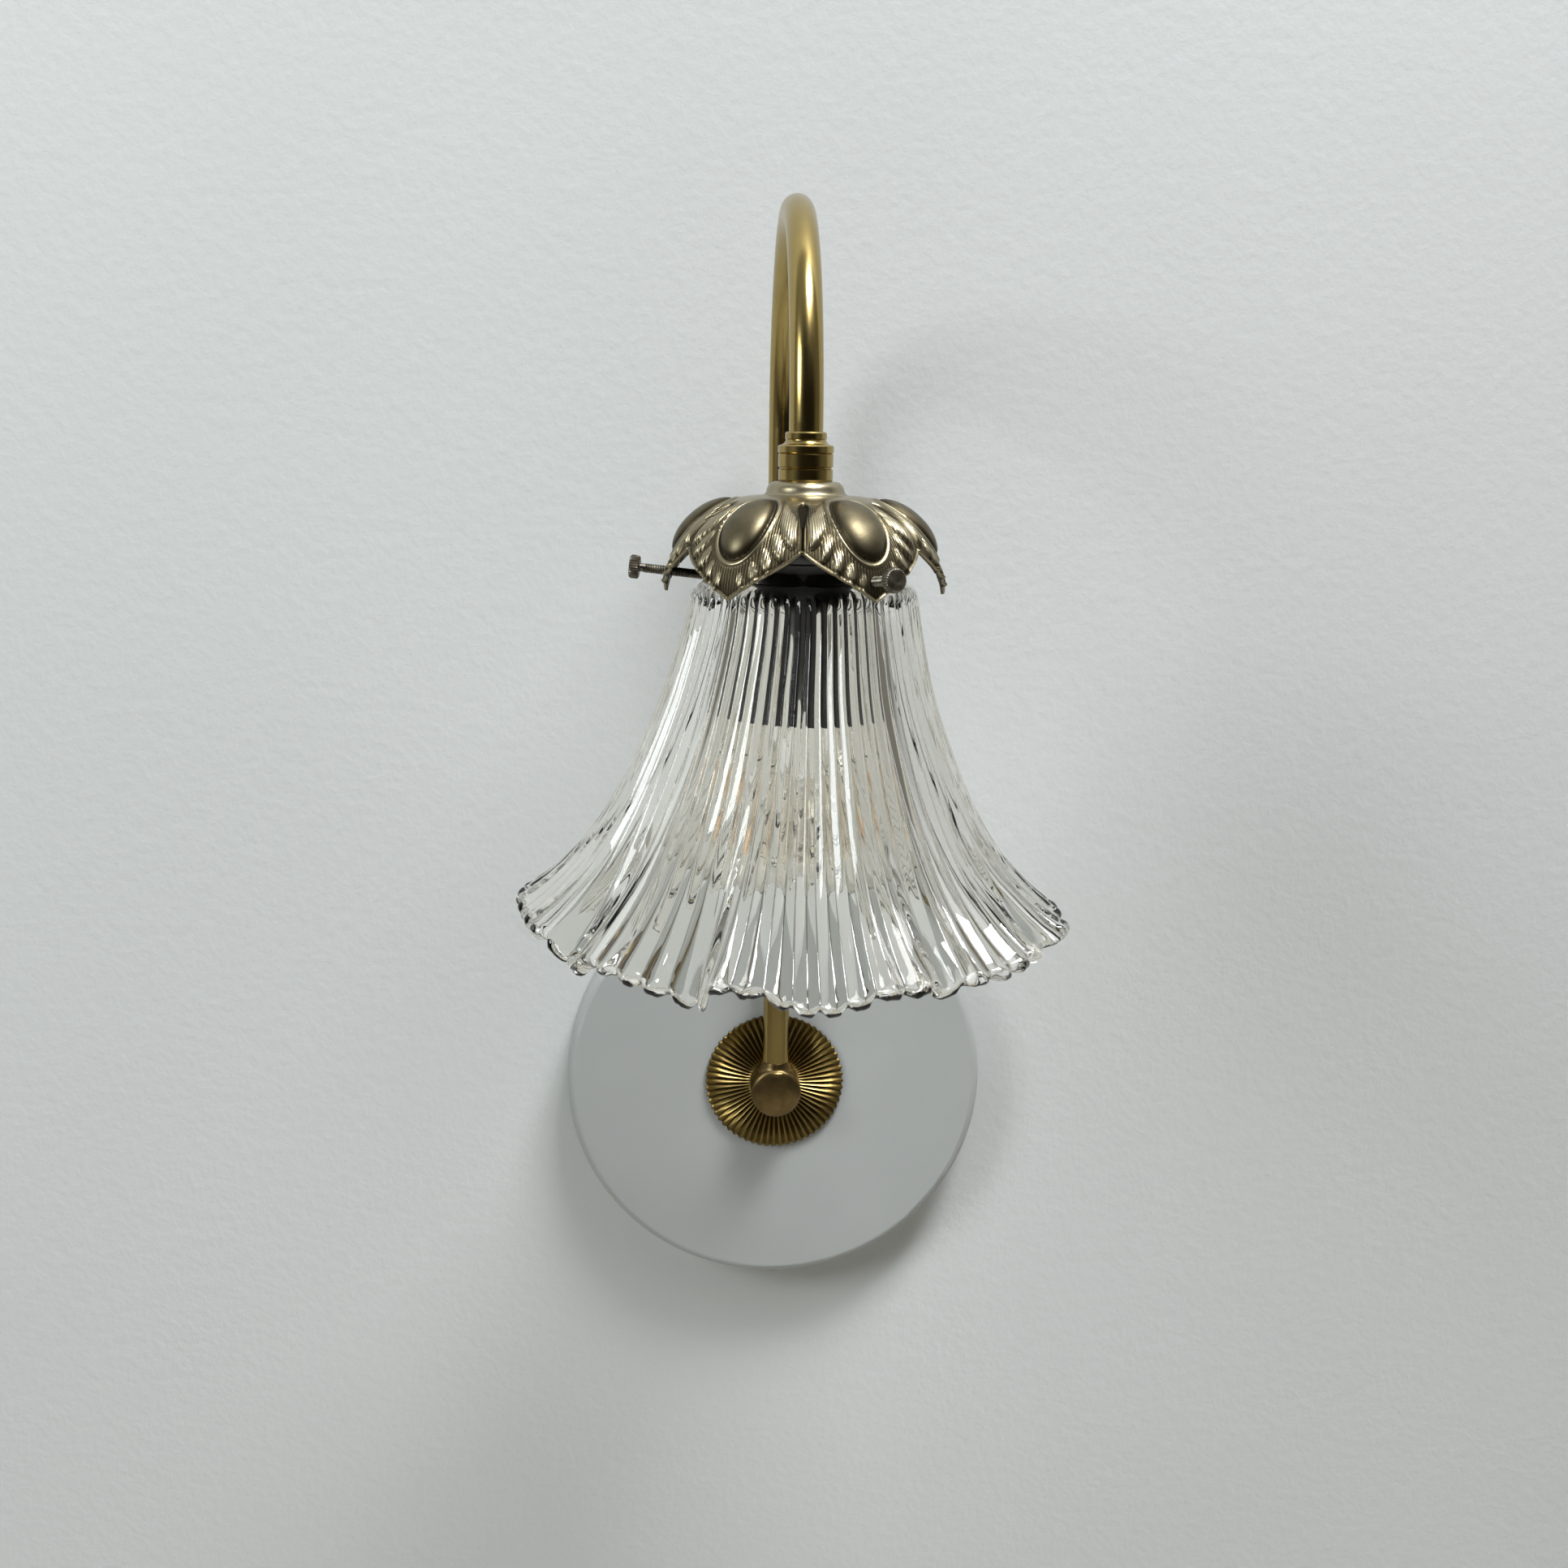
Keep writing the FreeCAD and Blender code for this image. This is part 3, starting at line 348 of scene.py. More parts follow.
def relief(phi, s):
    """The pressed relief of a petal: its height, how dark its finish is from 0 to 1, antique patina
    in the hollows and painted shade on the boss, and how strongly it is chased from 0 to 1."""
    radius = ROLL_OUT + ROLL * math.sin(s / ROLL)
    x = math.radians(phi) * radius
    edge = petal_edge(phi)
    # the boss: an egg, wider towards the tip
    middle = EGG_TOP + 0.56 * (EGG_FOOT - EGG_TOP)
    reach = (s - middle) / (middle - EGG_TOP if s < middle else EGG_FOOT - middle)
    egg = math.hypot(x / EGG_HALF, reach)
    height = shade = chased = 0.0
    if egg < 1:
        height = EGG_HIGH * (1 - egg ** 2.4) ** 0.62
        # painted shade: the boss is darker all over, a painted reflection of the dim room, more so at its foot
        shade = 0.34 + 0.3 * ease(0.80, 0.99, egg)
    else:
        groove = (egg - 1.0) * EGG_HALF
        # the thin rim round the boss, with a groove on each side
        height = 0.52 * math.exp(-((groove - 1.15) / 0.34) ** 2)
        shade = 0.85 * math.exp(-((groove - 0.35) / 0.35) ** 2) + 0.45 * math.exp(-((groove - 1.95) / 0.4) ** 2)
        free = ease(1.6, 2.3, groove)
        leaf = 0.0
        for (a0, s0), (a1, s1), half, high in LEAFLETS:
            r0 = ROLL_OUT + ROLL * math.sin(s0 / ROLL)
            r1 = ROLL_OUT + ROLL * math.sin(s1 / ROLL)
            leaf = max(leaf, almond(abs(x), s, (math.radians(a0) * r0, s0), (math.radians(a1) * r1, s1),
                                    half, high))
        height = max(height, leaf * free)
        if leaf < 0.12:
            shade = max(shade, 0.42 * free * ease(9, 14, s))
        # chased lines fan down to the edge, weaker on the leaflets than between them
        chased = free * ease(10, 17, s) * (0.45 if leaf > 0.3 else 1.0)
    # the drop-shaped recess between petals and the groove down from it
    side = math.radians(HALF_PETAL - abs(phi)) * radius
    drop_half = 1.15 * ease(9.0, 12.0, s) * (1 - ease(13, 23.5, s)) + 0.22
    dip = ease(drop_half + 0.5, drop_half - 0.35, side) * ease(8.8, 10.6, s)
    height -= 1.0 * dip
    shade = max(shade, dip)
    # a thin raised bead along the petal's edge
    to_edge = edge - s
    height += 0.4 * math.exp(-((to_edge - 0.45) / 0.4) ** 2)
    shade = max(shade * ease(0.3, 1.2, to_edge), 0.65 * math.exp(-((to_edge - 1.5) / 0.6) ** 2))
    fade = ease(5.5, 9.0, s)
    return height * fade, min(shade * fade, 1.0), chased * fade * (1 - dip) * ease(0.8, 1.8, to_edge)


PETAL_STEPS, ROLL_ROWS, INSIDE_ROWS = 112, 90, 14
OUTSIDE_AT, INSIDE_AT = 500.0, 700.0
gallery = bmesh.new()
patina_and_shade, chasing, chase_line = (gallery.verts.layers.float.new(layer)
                               for layer in ("patina_and_shade", "chasing", "chase_line"))
dome = [(5.05, 235.2), (5.05, 237.0), (7.0, 237.0)] \
    + [(8.6 + 2.8 * math.sin(a * math.pi / 12), 234.2 + 2.8 * math.cos(a * math.pi / 12)) for a in range(6)] \
    + [(11.55, 234.0), (11.9, 233.5), (12.3, 233.15)]
# below the dome a corner's height is its row's number, down the outside of the roll and back up
# the inside, until each is set in its place
outside = [(ROLL_OUT + 0.01 * i, OUTSIDE_AT + i) for i in range(ROLL_ROWS + 1)]
inside = [(ROLL_OUT - 0.5 + 0.01 * i, INSIDE_AT + i) for i in range(INSIDE_ROWS, -1, -1)]
turn(gallery, dome + outside + inside + [(9.0, 231.7), (8.2, 234.9)], 6 * PETAL_STEPS)
for vert in gallery.verts:
    azimuth = math.degrees(math.atan2(vert.co.y, vert.co.x))
    phi = (azimuth + HALF_PETAL) % (2 * HALF_PETAL) - HALF_PETAL
    if vert.co.z > OUTSIDE_AT - 1:
        edge = petal_edge(phi)
        back = vert.co.z > INSIDE_AT - 1
        share = (vert.co.z - INSIDE_AT) / INSIDE_ROWS if back else (vert.co.z - OUTSIDE_AT) / ROLL_ROWS
        s = edge * share
        high, patina_and_shade_level, chased = relief(phi, s)
        tilt = s / ROLL
        if back:
            # the inside of the roll is darker all over
            vert[patina_and_shade] = 0.55
            out = ROLL - LEAF_WALL * (1 - 0.45 * ease(0.85, 1.0, share)) + min(high, 1.2) * 0.55
        else:
            out = ROLL + high
            vert[patina_and_shade], vert[chasing], vert[chase_line] = patina_and_shade_level, chased, phi / CHASING * math.tau
        radius = ROLL_OUT + out * math.sin(tilt)
        vert.co.z = ROLL_UP + out * math.cos(tilt)
        vert.co.x = radius * math.cos(math.radians(azimuth))
        vert.co.y = radius * math.sin(math.radians(azimuth))
weld(gallery)
# the lathe starts at +X: a notch is turned to face the room, and then a little to the left
bmesh.ops.transform(gallery, verts=gallery.verts,
                    matrix=Matrix.Translation((0, AXIS_OUT, 0))
                    @ Matrix.Rotation(math.radians(-90 + PETAL_TURN + HALF_PETAL), 4, "Z"))

antique_brass, shader = finish("antiqued_pressed_brass")
place = add(antique_brass, "TexCoord")
# the darkness from the relief: antique patina in the hollows, painted shade on the bosses
patina_and_shade_level, chased, chase = (add(antique_brass, "Attribute", {"attribute_name": layer})
                       for layer in ("patina_and_shade", "chasing", "chase_line"))
smoke = add(antique_brass, "TexNoise", feeds={"Vector": place.outputs["Object"], "Scale": 150.0, "Detail": 5.0,
                                              "Roughness": 0.6})
fine = add(antique_brass, "TexNoise", feeds={"Vector": place.outputs["Object"], "Scale": 900.0, "Detail": 3.0})
wander = add(antique_brass, "Math", {"operation": "MULTIPLY_ADD"}, {0: smoke.outputs["Fac"], 1: 5.0,
                                                                   2: chase.outputs["Fac"]})
lines = add(antique_brass, "Math", {"operation": "SINE"}, {0: wander.outputs["Value"]})
cut = add(antique_brass, "Math", {"operation": "MULTIPLY"}, {0: lines.outputs["Value"],
                                                            1: chased.outputs["Fac"]})
dark = add(antique_brass, "Math", {"operation": "MULTIPLY_ADD"}, {0: smoke.outputs["Fac"], 1: 0.34,
                                                                 2: patina_and_shade_level.outputs["Fac"]})
dark = add(antique_brass, "Math", {"operation": "MULTIPLY_ADD"}, {0: cut.outputs["Value"], 1: -0.10,
                                                                 2: dark.outputs["Value"]})
tint = add(antique_brass, "ValToRGB", feeds={"Fac": dark.outputs["Value"]},
           stops=[(0.08, "#ABA186"), (0.34, "#81785F"), (0.66, "#4A4332"), (1.0, "#1F1A12")])
dull = add(antique_brass, "MapRange", feeds={"Value": dark.outputs["Value"], "To Min": 0.28, "To Max": 0.52})
grain = add(antique_brass, "Bump", feeds={"Height": fine.outputs["Fac"], "Strength": 0.12, "Distance": 0.0002})
grain = add(antique_brass, "Bump", feeds={"Height": cut.outputs["Value"], "Strength": 0.8, "Distance": 0.00012,
                                          "Normal": grain.outputs["Normal"]})
antique_brass.node_tree.links.new(tint.outputs["Color"], shader.inputs["Base Color"])
antique_brass.node_tree.links.new(dull.outputs["Result"], shader.inputs["Roughness"])
antique_brass.node_tree.links.new(grain.outputs["Normal"], shader.inputs["Normal"])
shader.inputs["Metallic"].default_value = 1.0
fit("acanthus_gallery", gallery, antique_brass, "fixture", ["leaf_gallery"], crease=70)

# ---------------------------------------------------------------------------------------------
# Thumb screws: M3 steel screws with knurled round heads, chemically bronzed to a dark gunmetal.
# They pass through every second petal and clamp the neck of the glass.

SCREW_TIP_OUT, SCREW_TIP_UP, SCREW_SLOPE, SHANK, HEAD = 29.2, 209.3, 6.0, 19.6, 3.1
CORE_R, CREST_R, THREAD_START = 1.22, 1.48, 0.4
KNURLS, THREAD_PITCH, THREAD_STEPS = 28, 0.7, 14    # the thread is a little coarse so that it shows

dark_bronze = mottled("bronzed_steel", 420.0, 4.0, [(0.3, "#5E594F"), (0.55, "#7E786C"), (0.8, "#A39C8E")],
                      (0.28, 0.45), 1.0)

for screw_number, screw_name in enumerate(("thumb_screw_front", "thumb_screw_back", "thumb_screw_left")):
    screw = bmesh.new()
    # the threaded shank: one V of the thread, wound up along the shank
    turns = int((SHANK - 0.8) / THREAD_PITCH)
    vee = [screw.verts.new(spot) for spot in ((CORE_R, 0, THREAD_START),
                                              (CREST_R, 0, THREAD_START + THREAD_PITCH * 0.5),
                                              (CORE_R, 0, THREAD_START + THREAD_PITCH))]
    ridge_edges = [screw.edges.new((vee[0], vee[1])), screw.edges.new((vee[1], vee[2]))]
    bmesh.ops.spin(screw, geom=vee + ridge_edges, cent=(0, 0, 0), axis=(0, 0, 1),
                   dvec=(0, 0, THREAD_PITCH / THREAD_STEPS), angle=math.tau * (turns - 1),
                   steps=THREAD_STEPS * (turns - 1), use_merge=False, use_duplicate=False)
    bmesh.ops.remove_doubles(screw, verts=screw.verts, dist=0.01)
    # the core, which closes both ends
    turn(screw, [(0.0, 0.0), (1.0, 0.0), (1.24, 0.35), (1.24, SHANK), (0.0, SHANK)], 20)
    # the knurled head
    bottom, top = SHANK, SHANK + HEAD
    turn(screw, [(0.0, bottom), (2.1, bottom), (2.95, bottom + 0.12), (3.5, bottom + 0.5), (3.5, top - 0.55),
                 (3.2, top - 0.15), (2.9, top), (1.2, top), (0.9, top - 0.12), (0.0, top - 0.12)], KNURLS * 6)
    for vert in screw.verts:
        out = math.hypot(vert.co.x, vert.co.y)
        if vert.co.z > bottom - 0.01 and out > 2.8:
            wave = math.cos(math.atan2(vert.co.y, vert.co.x) * KNURLS)
            shrink = 1 - (0.09 * (0.5 - 0.5 * wave) ** 0.8 if out > 3.3 else 0.05 * (0.5 - 0.5 * wave))
            vert.co.x *= shrink
            vert.co.y *= shrink
    weld(screw)
    turned_to = math.radians(PETAL_TURN + 60 * (2 * screw_number + 0.5))
    slope = math.radians(SCREW_SLOPE)
    out_way = Vector((math.sin(turned_to) * math.cos(slope), -math.cos(turned_to) * math.cos(slope),
                      math.sin(slope)))
    tip = Vector((math.sin(turned_to) * SCREW_TIP_OUT, AXIS_OUT - math.cos(turned_to) * SCREW_TIP_OUT,
                  SCREW_TIP_UP))
    bmesh.ops.transform(screw, verts=screw.verts,
                        matrix=Matrix.Translation(tip) @ out_way.to_track_quat("Z", "Y").to_matrix().to_4x4())
    fit("knurled_" + screw_name, screw, dark_bronze, screw_name, [screw_name], crease=40)

# ---------------------------------------------------------------------------------------------
# Glass shade: clear pressed glass, a bell with seventy ribs. The ribs start with round tops under
# the plain neck, widen downwards and end in beads. The rim was ruffled while hot: it rises and
# flares in lobes, between thick folds that turn inwards and hang low.

RIBS = 70
# columns across one rib, closer together on its crest and in the valley
RIB_PHASES = (0.0, 0.08, 0.2, 0.33, 0.44, 0.5, 0.56, 0.67, 0.8, 0.92)
COLUMNS = RIBS * len(RIB_PHASES)
NECK_BORE, GLASS_WALL = 26.0, 3.5
# the bell's outside, as (height, radius)
BELL = [(102.0, 84.4), (107.5, 80.6), (115.0, 73.6), (125.0, 65.2), (136.5, 57.6), (149.0, 50.9), (162.0, 45.3),
        (174.0, 40.8), (185.0, 37.6), (195.5, 35.1), (201.0, 34.1), (205.0, 33.2), (207.0, 32.0)]
RIM_UP, BELL_TOP, RUFFLE_TOP, KICK_TOP = 102.0, 207.0, 154.0, 112.0
RIM_KICK, BEAD_REACH = 2.0, 2.8     # how far the rim turns up again, and how far the beads reach past it
LEAN = math.radians(1.7)        # the shade hangs a little askew in its three screws, its foot to the left
LEAN_OVER = 30.0                # the lean comes in over this height, so that the neck stays in the gallery
FOLDS = (-57, -21.5, 29, 61, 118, 155, 205, 242)
# the rim all round: azimuth from the room, then how far its beads go out and up from a plain circle
RIM = [(-65, -0.8, 5.7), (-57, -6.3, -1.9), (-49.5, -1.2, 3.5), (-40.5, -0.2, 3.6), (-34.5, -0.1, 2.5),
       (-28, -0.5, 0.6), (-21.5, -5.4, -2.6), (-16.5, 0.5, 4.6), (-11.5, 1, 4.4), (-7.5, 0.4, 3.6),
       (-4, 0, 1.1), (1, 0.6, -0.2), (6, 0.7, 0.4), (11, 0.6, 2.6), (15, 1.1, 5), (18.5, 1, 4.5),
       (22.5, 1.1, 6.1), (29, -4.1, 1.3), (34.5, 1.2, 5.6), (42.5, 1.8, 6.2), (49.5, 1.7, 7.9), (54, 0.6, 7.6),
       (61, -3.5, 4.2), (68, 2, 10.3), (78, -1.5, 7), (91, -0.7, 7.6), (105, -1.2, 6), (118, -4.8, 2),
       (128, 0.4, 5.2), (142, 0.8, 4.4), (155, -4.8, -0.2), (163, 1, 4.8), (173, 0.6, 2.2), (182, 0.6, 0.4),
       (191, 0.8, 3), (198, 0.8, 4.8), (205, -4.8, -0.4), (213, 0.6, 4.2), (225, 0.8, 5.4), (235, 0.4, 6),
       (242, -4.8, 2), (254, -1.2, 6), (270, -0.7, 7.6), (282, -1.5, 7)]
RIM_START = RIM[0][0]
RIM = [(RIM[-1][0] - 360, *RIM[-1][1:])] + RIM + [(place + 360, out, up) for place, out, up in RIM[:3]]


def through(table, at):
    """The values at a place in a table of (place, value, ...) rows, on a smooth curve through them."""
    i = next((k for k in range(len(table) - 1) if at <= table[k + 1][0]), len(table) - 2)
    here, there = table[i], table[i + 1]
    before, after = table[max(i - 1, 0)], table[min(i + 2, len(table) - 1)]
    span = there[0] - here[0]
    t = (at - here[0]) / span
    values = []
    for k in range(1, len(here)):
        leave = (there[k] - before[k]) / (there[0] - before[0]) * span
        arrive = (after[k] - here[k]) / (after[0] - here[0]) * span
        values.append(here[k] + t * (leave + t * (3 * (there[k] - here[k]) - 2 * leave - arrive
                                                  + t * (leave + arrive - 2 * (there[k] - here[k])))))
    return values


ROWS, BEAD_ROWS, INSIDE_STRIDE = 66, 7, 3
heights = [BELL_TOP - (BELL_TOP - RIM_UP) * (1 - (1 - i / ROWS) ** 1.25) for i in range(ROWS + 1)]
plain_bell = [through(BELL, up)[0] for up in heights]
shade_glass = bmesh.new()
neck = [(NECK_BORE, 216.9), (NECK_BORE + 0.6, 217.5), (29.5, 217.5), (30.2, 216.8), (30.2, 215.1),
        (29.5, 214.4), (28.9, 213.4), (28.9, 209.5), (29.4, 208.4), (30.6, 207.6)]
# below the neck a corner's height is its row's number: 1000 up on the outside, 2000 up round the
# rim and 3000 up on the inside
turn(shade_glass, neck + [(30.0, 1000 + i) for i in range(ROWS + 1)]
     + [(29.0, 2000 + i) for i in range(1, BEAD_ROWS + 1)]
     + [(28.0, 3000 + i) for i in range(ROWS, -1, -INSIDE_STRIDE)] + [(NECK_BORE, 208.4)], COLUMNS)

columns = {}
for column in range(COLUMNS):
    rib, step = divmod(column, len(RIB_PHASES))
    phase = RIB_PHASES[step]
    azimuth = (rib + phase) / RIBS * 360.0
    place = (azimuth - RIM_START) % 360.0 + RIM_START
    out, lift = through(RIM, place)
    chance = noise(Vector((rib * 3.7, 0.3, 0.0)))
    # how near the crest of its rib this column is: a prism with a softened ridge
    prism = 1 - (math.hypot(2 * min(phase, 1 - phase), 0.12) - 0.12) / 0.887
    reed = 1 - (2 * min(phase, 1 - phase)) ** 2
    off = [place - fold - 360 * round((place - fold) / 360) for fold in FOLDS]
    gather = -sum(0.42 * turn_off * math.exp(-(turn_off / 8.0) ** 2) for turn_off in off)
    pinch = max(math.exp(-(turn_off / 3.6) ** 2) for turn_off in off)
    line, outside, inside, around = [], [], [], []
    for up, plain in zip(heights, plain_bell):
        low = min(max((RUFFLE_TOP - up) / (RUFFLE_TOP - RIM_UP), 0.0), 1.0)
        sway = 0.7 * noise(Vector((math.cos(math.radians(azimuth)) * 1.6, math.sin(math.radians(azimuth)) * 1.6,
                                   up * 0.018))) * ease(160, 115, up)
        kick = RIM_KICK * max((KICK_TOP - up) / (KICK_TOP - RIM_UP), 0.0) ** 2
        line.append((plain + (out - BEAD_REACH) * low ** 1.8 + sway, up + (lift + 0.3) * low ** 2.1 + kick))
        around.append(math.radians(azimuth + gather * low ** 1.6))
    for i, up in enumerate(heights):
        (r0, z0), (r1, z1) = line[max(i - 1, 0)], line[min(i + 1, ROWS)]
        length = math.hypot(r1 - r0, z1 - z0)
        along = ((r1 - r0) / length, (z1 - z0) / length)
        proud = (-along[1], along[0])
        pitch = math.tau * plain_bell[i] / RIBS
        near = prism + (reed - prism) * 0.3 * ease(140, 106, up)
        uneven = 1 + (0.12 + 0.1 * ease(130, 110, up)) * chance
        depth = min(0.37 * pitch, 1.55) * uneven * ease(205.2, 203.2, up - 0.9 * near)
        edge = 0.1 * depth - depth * (1 - near)
        wall = GLASS_WALL + 2.0 * pinch * ease(118, RIM_UP, up) + 0.9 * ease(118, RIM_UP, up)
        radius, height = line[i]
        outside.append((radius + proud[0] * edge, height + proud[1] * edge))
        inside.append((radius - proud[0] * wall, height - proud[1] * wall))
    # the rim: a round edge from the outside to the inside, swollen to a bead at each rib's crest
    (ro, zo), (ri, zi) = outside[-1], inside[-1]
    swell = 1.0 + (2.2 + 1.0 * chance) * ease(0.1, 0.8, near)
    beads = []
    for i in range(1, BEAD_ROWS + 1):
        turned_by = math.pi * i / (BEAD_ROWS + 1)
        across = 0.5 * math.cos(turned_by) * (1 + 0.22 * near * math.sin(turned_by))
        beads.append(((ro + ri) / 2 + (ro - ri) * across + along[0] * swell * math.sin(turned_by),
                      (zo + zi) / 2 + (zo - zi) * across + along[1] * swell * math.sin(turned_by)))
    columns[column] = (around, outside, beads, inside)

for vert in shade_glass.verts:
    if vert.co.z < 900:
        continue
    column = round(math.atan2(vert.co.y, vert.co.x) / math.tau * COLUMNS) % COLUMNS
    around, outside, beads, inside = columns[column]
    kind, row = divmod(round(vert.co.z), 1000)
    radius, height = {1: outside, 2: [None] + beads, 3: inside}[kind][row]
    angle = around[ROWS if kind == 2 else row] - math.pi / 2        # azimuth 0 faces the room, along -Y
    vert.co = Vector((radius * math.cos(angle), radius * math.sin(angle), height))
    lean = LEAN * ease(BELL_TOP, BELL_TOP - LEAN_OVER, height)
    vert.co.x -= (BELL_TOP - height) * math.sin(lean)
    vert.co.z -= radius * math.cos(angle) * math.sin(lean)
# the neck was spun from +X too, so its columns line up with the bell's once it is turned as far
for vert in shade_glass.verts:
    if vert.co.z > 207.3:
        column = round(math.atan2(vert.co.y, vert.co.x) / math.tau * COLUMNS) % COLUMNS
        angle = columns[column][0][0] - math.pi / 2
        radius = math.hypot(vert.co.x, vert.co.y)
        vert.co = Vector((radius * math.cos(angle), radius * math.sin(angle), vert.co.z))
weld(shade_glass)
bmesh.ops.transform(shade_glass, verts=shade_glass.verts, matrix=Matrix.Translation((0, AXIS_OUT, 0)))


def clear_glass(name, colour, ior, wave, shadow):
    """A clear glass with faint waves, given as scale, detail, strength and distance. It lets most
    of the light through to what is behind, so its shadow is a light one."""
    material, shader = finish(name)
    place = add(material, "TexCoord")
    scale, detail, strength, distance = wave
    flow = add(material, "TexNoise", feeds={"Vector": place.outputs["Object"], "Scale": scale, "Detail": detail})
    wavy = add(material, "Bump", feeds={"Height": flow.outputs["Fac"], "Strength": strength,
                                        "Distance": distance})
    material.node_tree.links.new(wavy.outputs["Normal"], shader.inputs["Normal"])
    shader.inputs["Base Color"].default_value = linear(colour)
    shader.inputs["Roughness"].default_value = 0.0
    shader.inputs["IOR"].default_value = ior
    shader.inputs["Transmission Weight"].default_value = 1.0
    thin = add(material, "BsdfTransparent", feeds={"Color": linear(shadow)})
    rays = add(material, "LightPath")
    either = add(material, "MixShader", feeds={0: rays.outputs["Is Shadow Ray"], 1: shader.outputs["BSDF"],
                                               2: thin.outputs["BSDF"]})
    material.node_tree.links.new(either.outputs["Shader"],
                                 material.node_tree.nodes["Material Output"].inputs["Surface"])
    return material


# pressed soda-lime glass: very slightly warm, with faint waves from the mould
pressed_glass = clear_glass("pressed_soda_glass", "#FBF9F3", 1.5, (110.0, 2.0, 0.04, 0.0006), "#E2E2E0")
fit("ribbed_glass_shade", shade_glass, pressed_glass, "fixture", ["glass_shade"], crease=80)

# ---------------------------------------------------------------------------------------------
# Lampholder: an E14 holder in black moulded plastic, in two halves, with a white ceramic insert
# and nickel-plated contacts. It hangs on the threaded tube inside the gallery.

black_plastic, shader = finish("black_moulded_plastic")
place = add(black_plastic, "TexCoord")
mould = add(black_plastic, "TexNoise", feeds={"Vector": place.outputs["Object"], "Scale": 500.0, "Detail": 2.0})
dull = add(black_plastic, "MapRange", feeds={"Value": mould.outputs["Fac"], "To Min": 0.40, "To Max": 0.5})
black_plastic.node_tree.links.new(dull.outputs["Result"], shader.inputs["Roughness"])
shader.inputs["Base Color"].default_value = linear("#030303")
shader.inputs["Specular IOR Level"].default_value = 0.18
for holder_part in ("holder_cap", "holder_body"):
    coat_node(holder_part, black_plastic)

coat_node("holder_insert", mottled("unglazed_ceramic", 1500.0, 2.0, [(0.3, "#D2CFC7"), (0.7, "#DDDAD3")], 0.7))
nickel = mottled("nickel_plated_brass", 350.0, 3.0, [(0.3, "#ABA594"), (0.7, "#C6C1B2")], (0.2, 0.34), 1.0)
for contact_part in ("threaded_shell", "centre_contact", "holder_terminals", "bulb_cap"):
    coat_node(contact_part, nickel)

# ---------------------------------------------------------------------------------------------
# Lamp: a small clear LED lamp with a blown glass ball, a glass stem and four straight filaments
# coated in amber phosphor. It screws up into the holder.

blown_glass = clear_glass("blown_clear_glass", "#FDFBF6", 1.48, (60.0, 1.0, 0.03, 0.0004), "#F2F0EC")
coat_node("bulb_glass", blown_glass)
coat_node("bulb_stem", blown_glass)

for lamp_part, low_colour, high_colour, rough, metallic in (("bulb_insulator", "#101012", "#1A1A1D", 0.2, 0.0),
                                                            ("bulb_contact", "#A7A7A5", "#BDBDBB", 0.35, 1.0),
                                                            ("bulb_filaments", "#EBC7A4", "#F2D7BE", 0.5, 0.0)):
    coat_node(lamp_part, mottled(lamp_part + "_finish", 700.0, 2.0, [(0.3, low_colour), (0.7, high_colour)],
                                 rough, metallic))

# ---------------------------------------------------------------------------------------------
# Studio: a painted plaster wall behind the light, a pale floor below, soft lamps and the camera
# at the photograph's angle. None of it belongs to the object.

plaster, shader = finish("painted_plaster")
place = add(plaster, "TexCoord")
roller = add(plaster, "TexNoise", feeds={"Vector": place.outputs["Object"], "Scale": 190.0, "Detail": 5.0,
                                         "Roughness": 0.6})
wash = add(plaster, "TexNoise", feeds={"Vector": place.outputs["Object"], "Scale": 3.0, "Detail": 2.0})
tint = add(plaster, "ValToRGB", feeds={"Fac": wash.outputs["Fac"]}, stops=[(0.3, "#D7DAD8"), (0.7, "#DCDFDD")])
stipple = add(plaster, "Bump", feeds={"Height": roller.outputs["Fac"], "Strength": 0.35, "Distance": 0.0007})
plaster.node_tree.links.new(tint.outputs["Color"], shader.inputs["Base Color"])
plaster.node_tree.links.new(stipple.outputs["Normal"], shader.inputs["Normal"])
shader.inputs["Roughness"].default_value = 0.8
# seen from behind, the wall lets the view through, so that the back of the light can be looked at
side = add(plaster, "NewGeometry")
clear = add(plaster, "BsdfTransparent")
wall_or_air = add(plaster, "MixShader", feeds={0: side.outputs["Backfacing"], 1: shader.outputs["BSDF"],
                                               2: clear.outputs["BSDF"]})
plaster.node_tree.links.new(wall_or_air.outputs["Shader"],
                            plaster.node_tree.nodes["Material Output"].inputs["Surface"])

# the floor is pale to the eye and through glass; metal sees it as the dim floor of a lived-in room
screed, shader = finish("painted_screed")
rays = add(screed, "LightPath")
direct = add(screed, "Math", {"operation": "MAXIMUM"}, {0: rays.outputs["Is Camera Ray"],
                                                       1: rays.outputs["Is Transmission Ray"]})
tint = add(screed, "Mix", {"data_type": "RGBA"}, {0: direct.outputs["Value"], 6: linear("#C6C1B7"),
                                                  7: linear("#D7DADB")})
screed.node_tree.links.new(tint.outputs[2], shader.inputs["Base Color"])
shader.inputs["Roughness"].default_value = 0.8

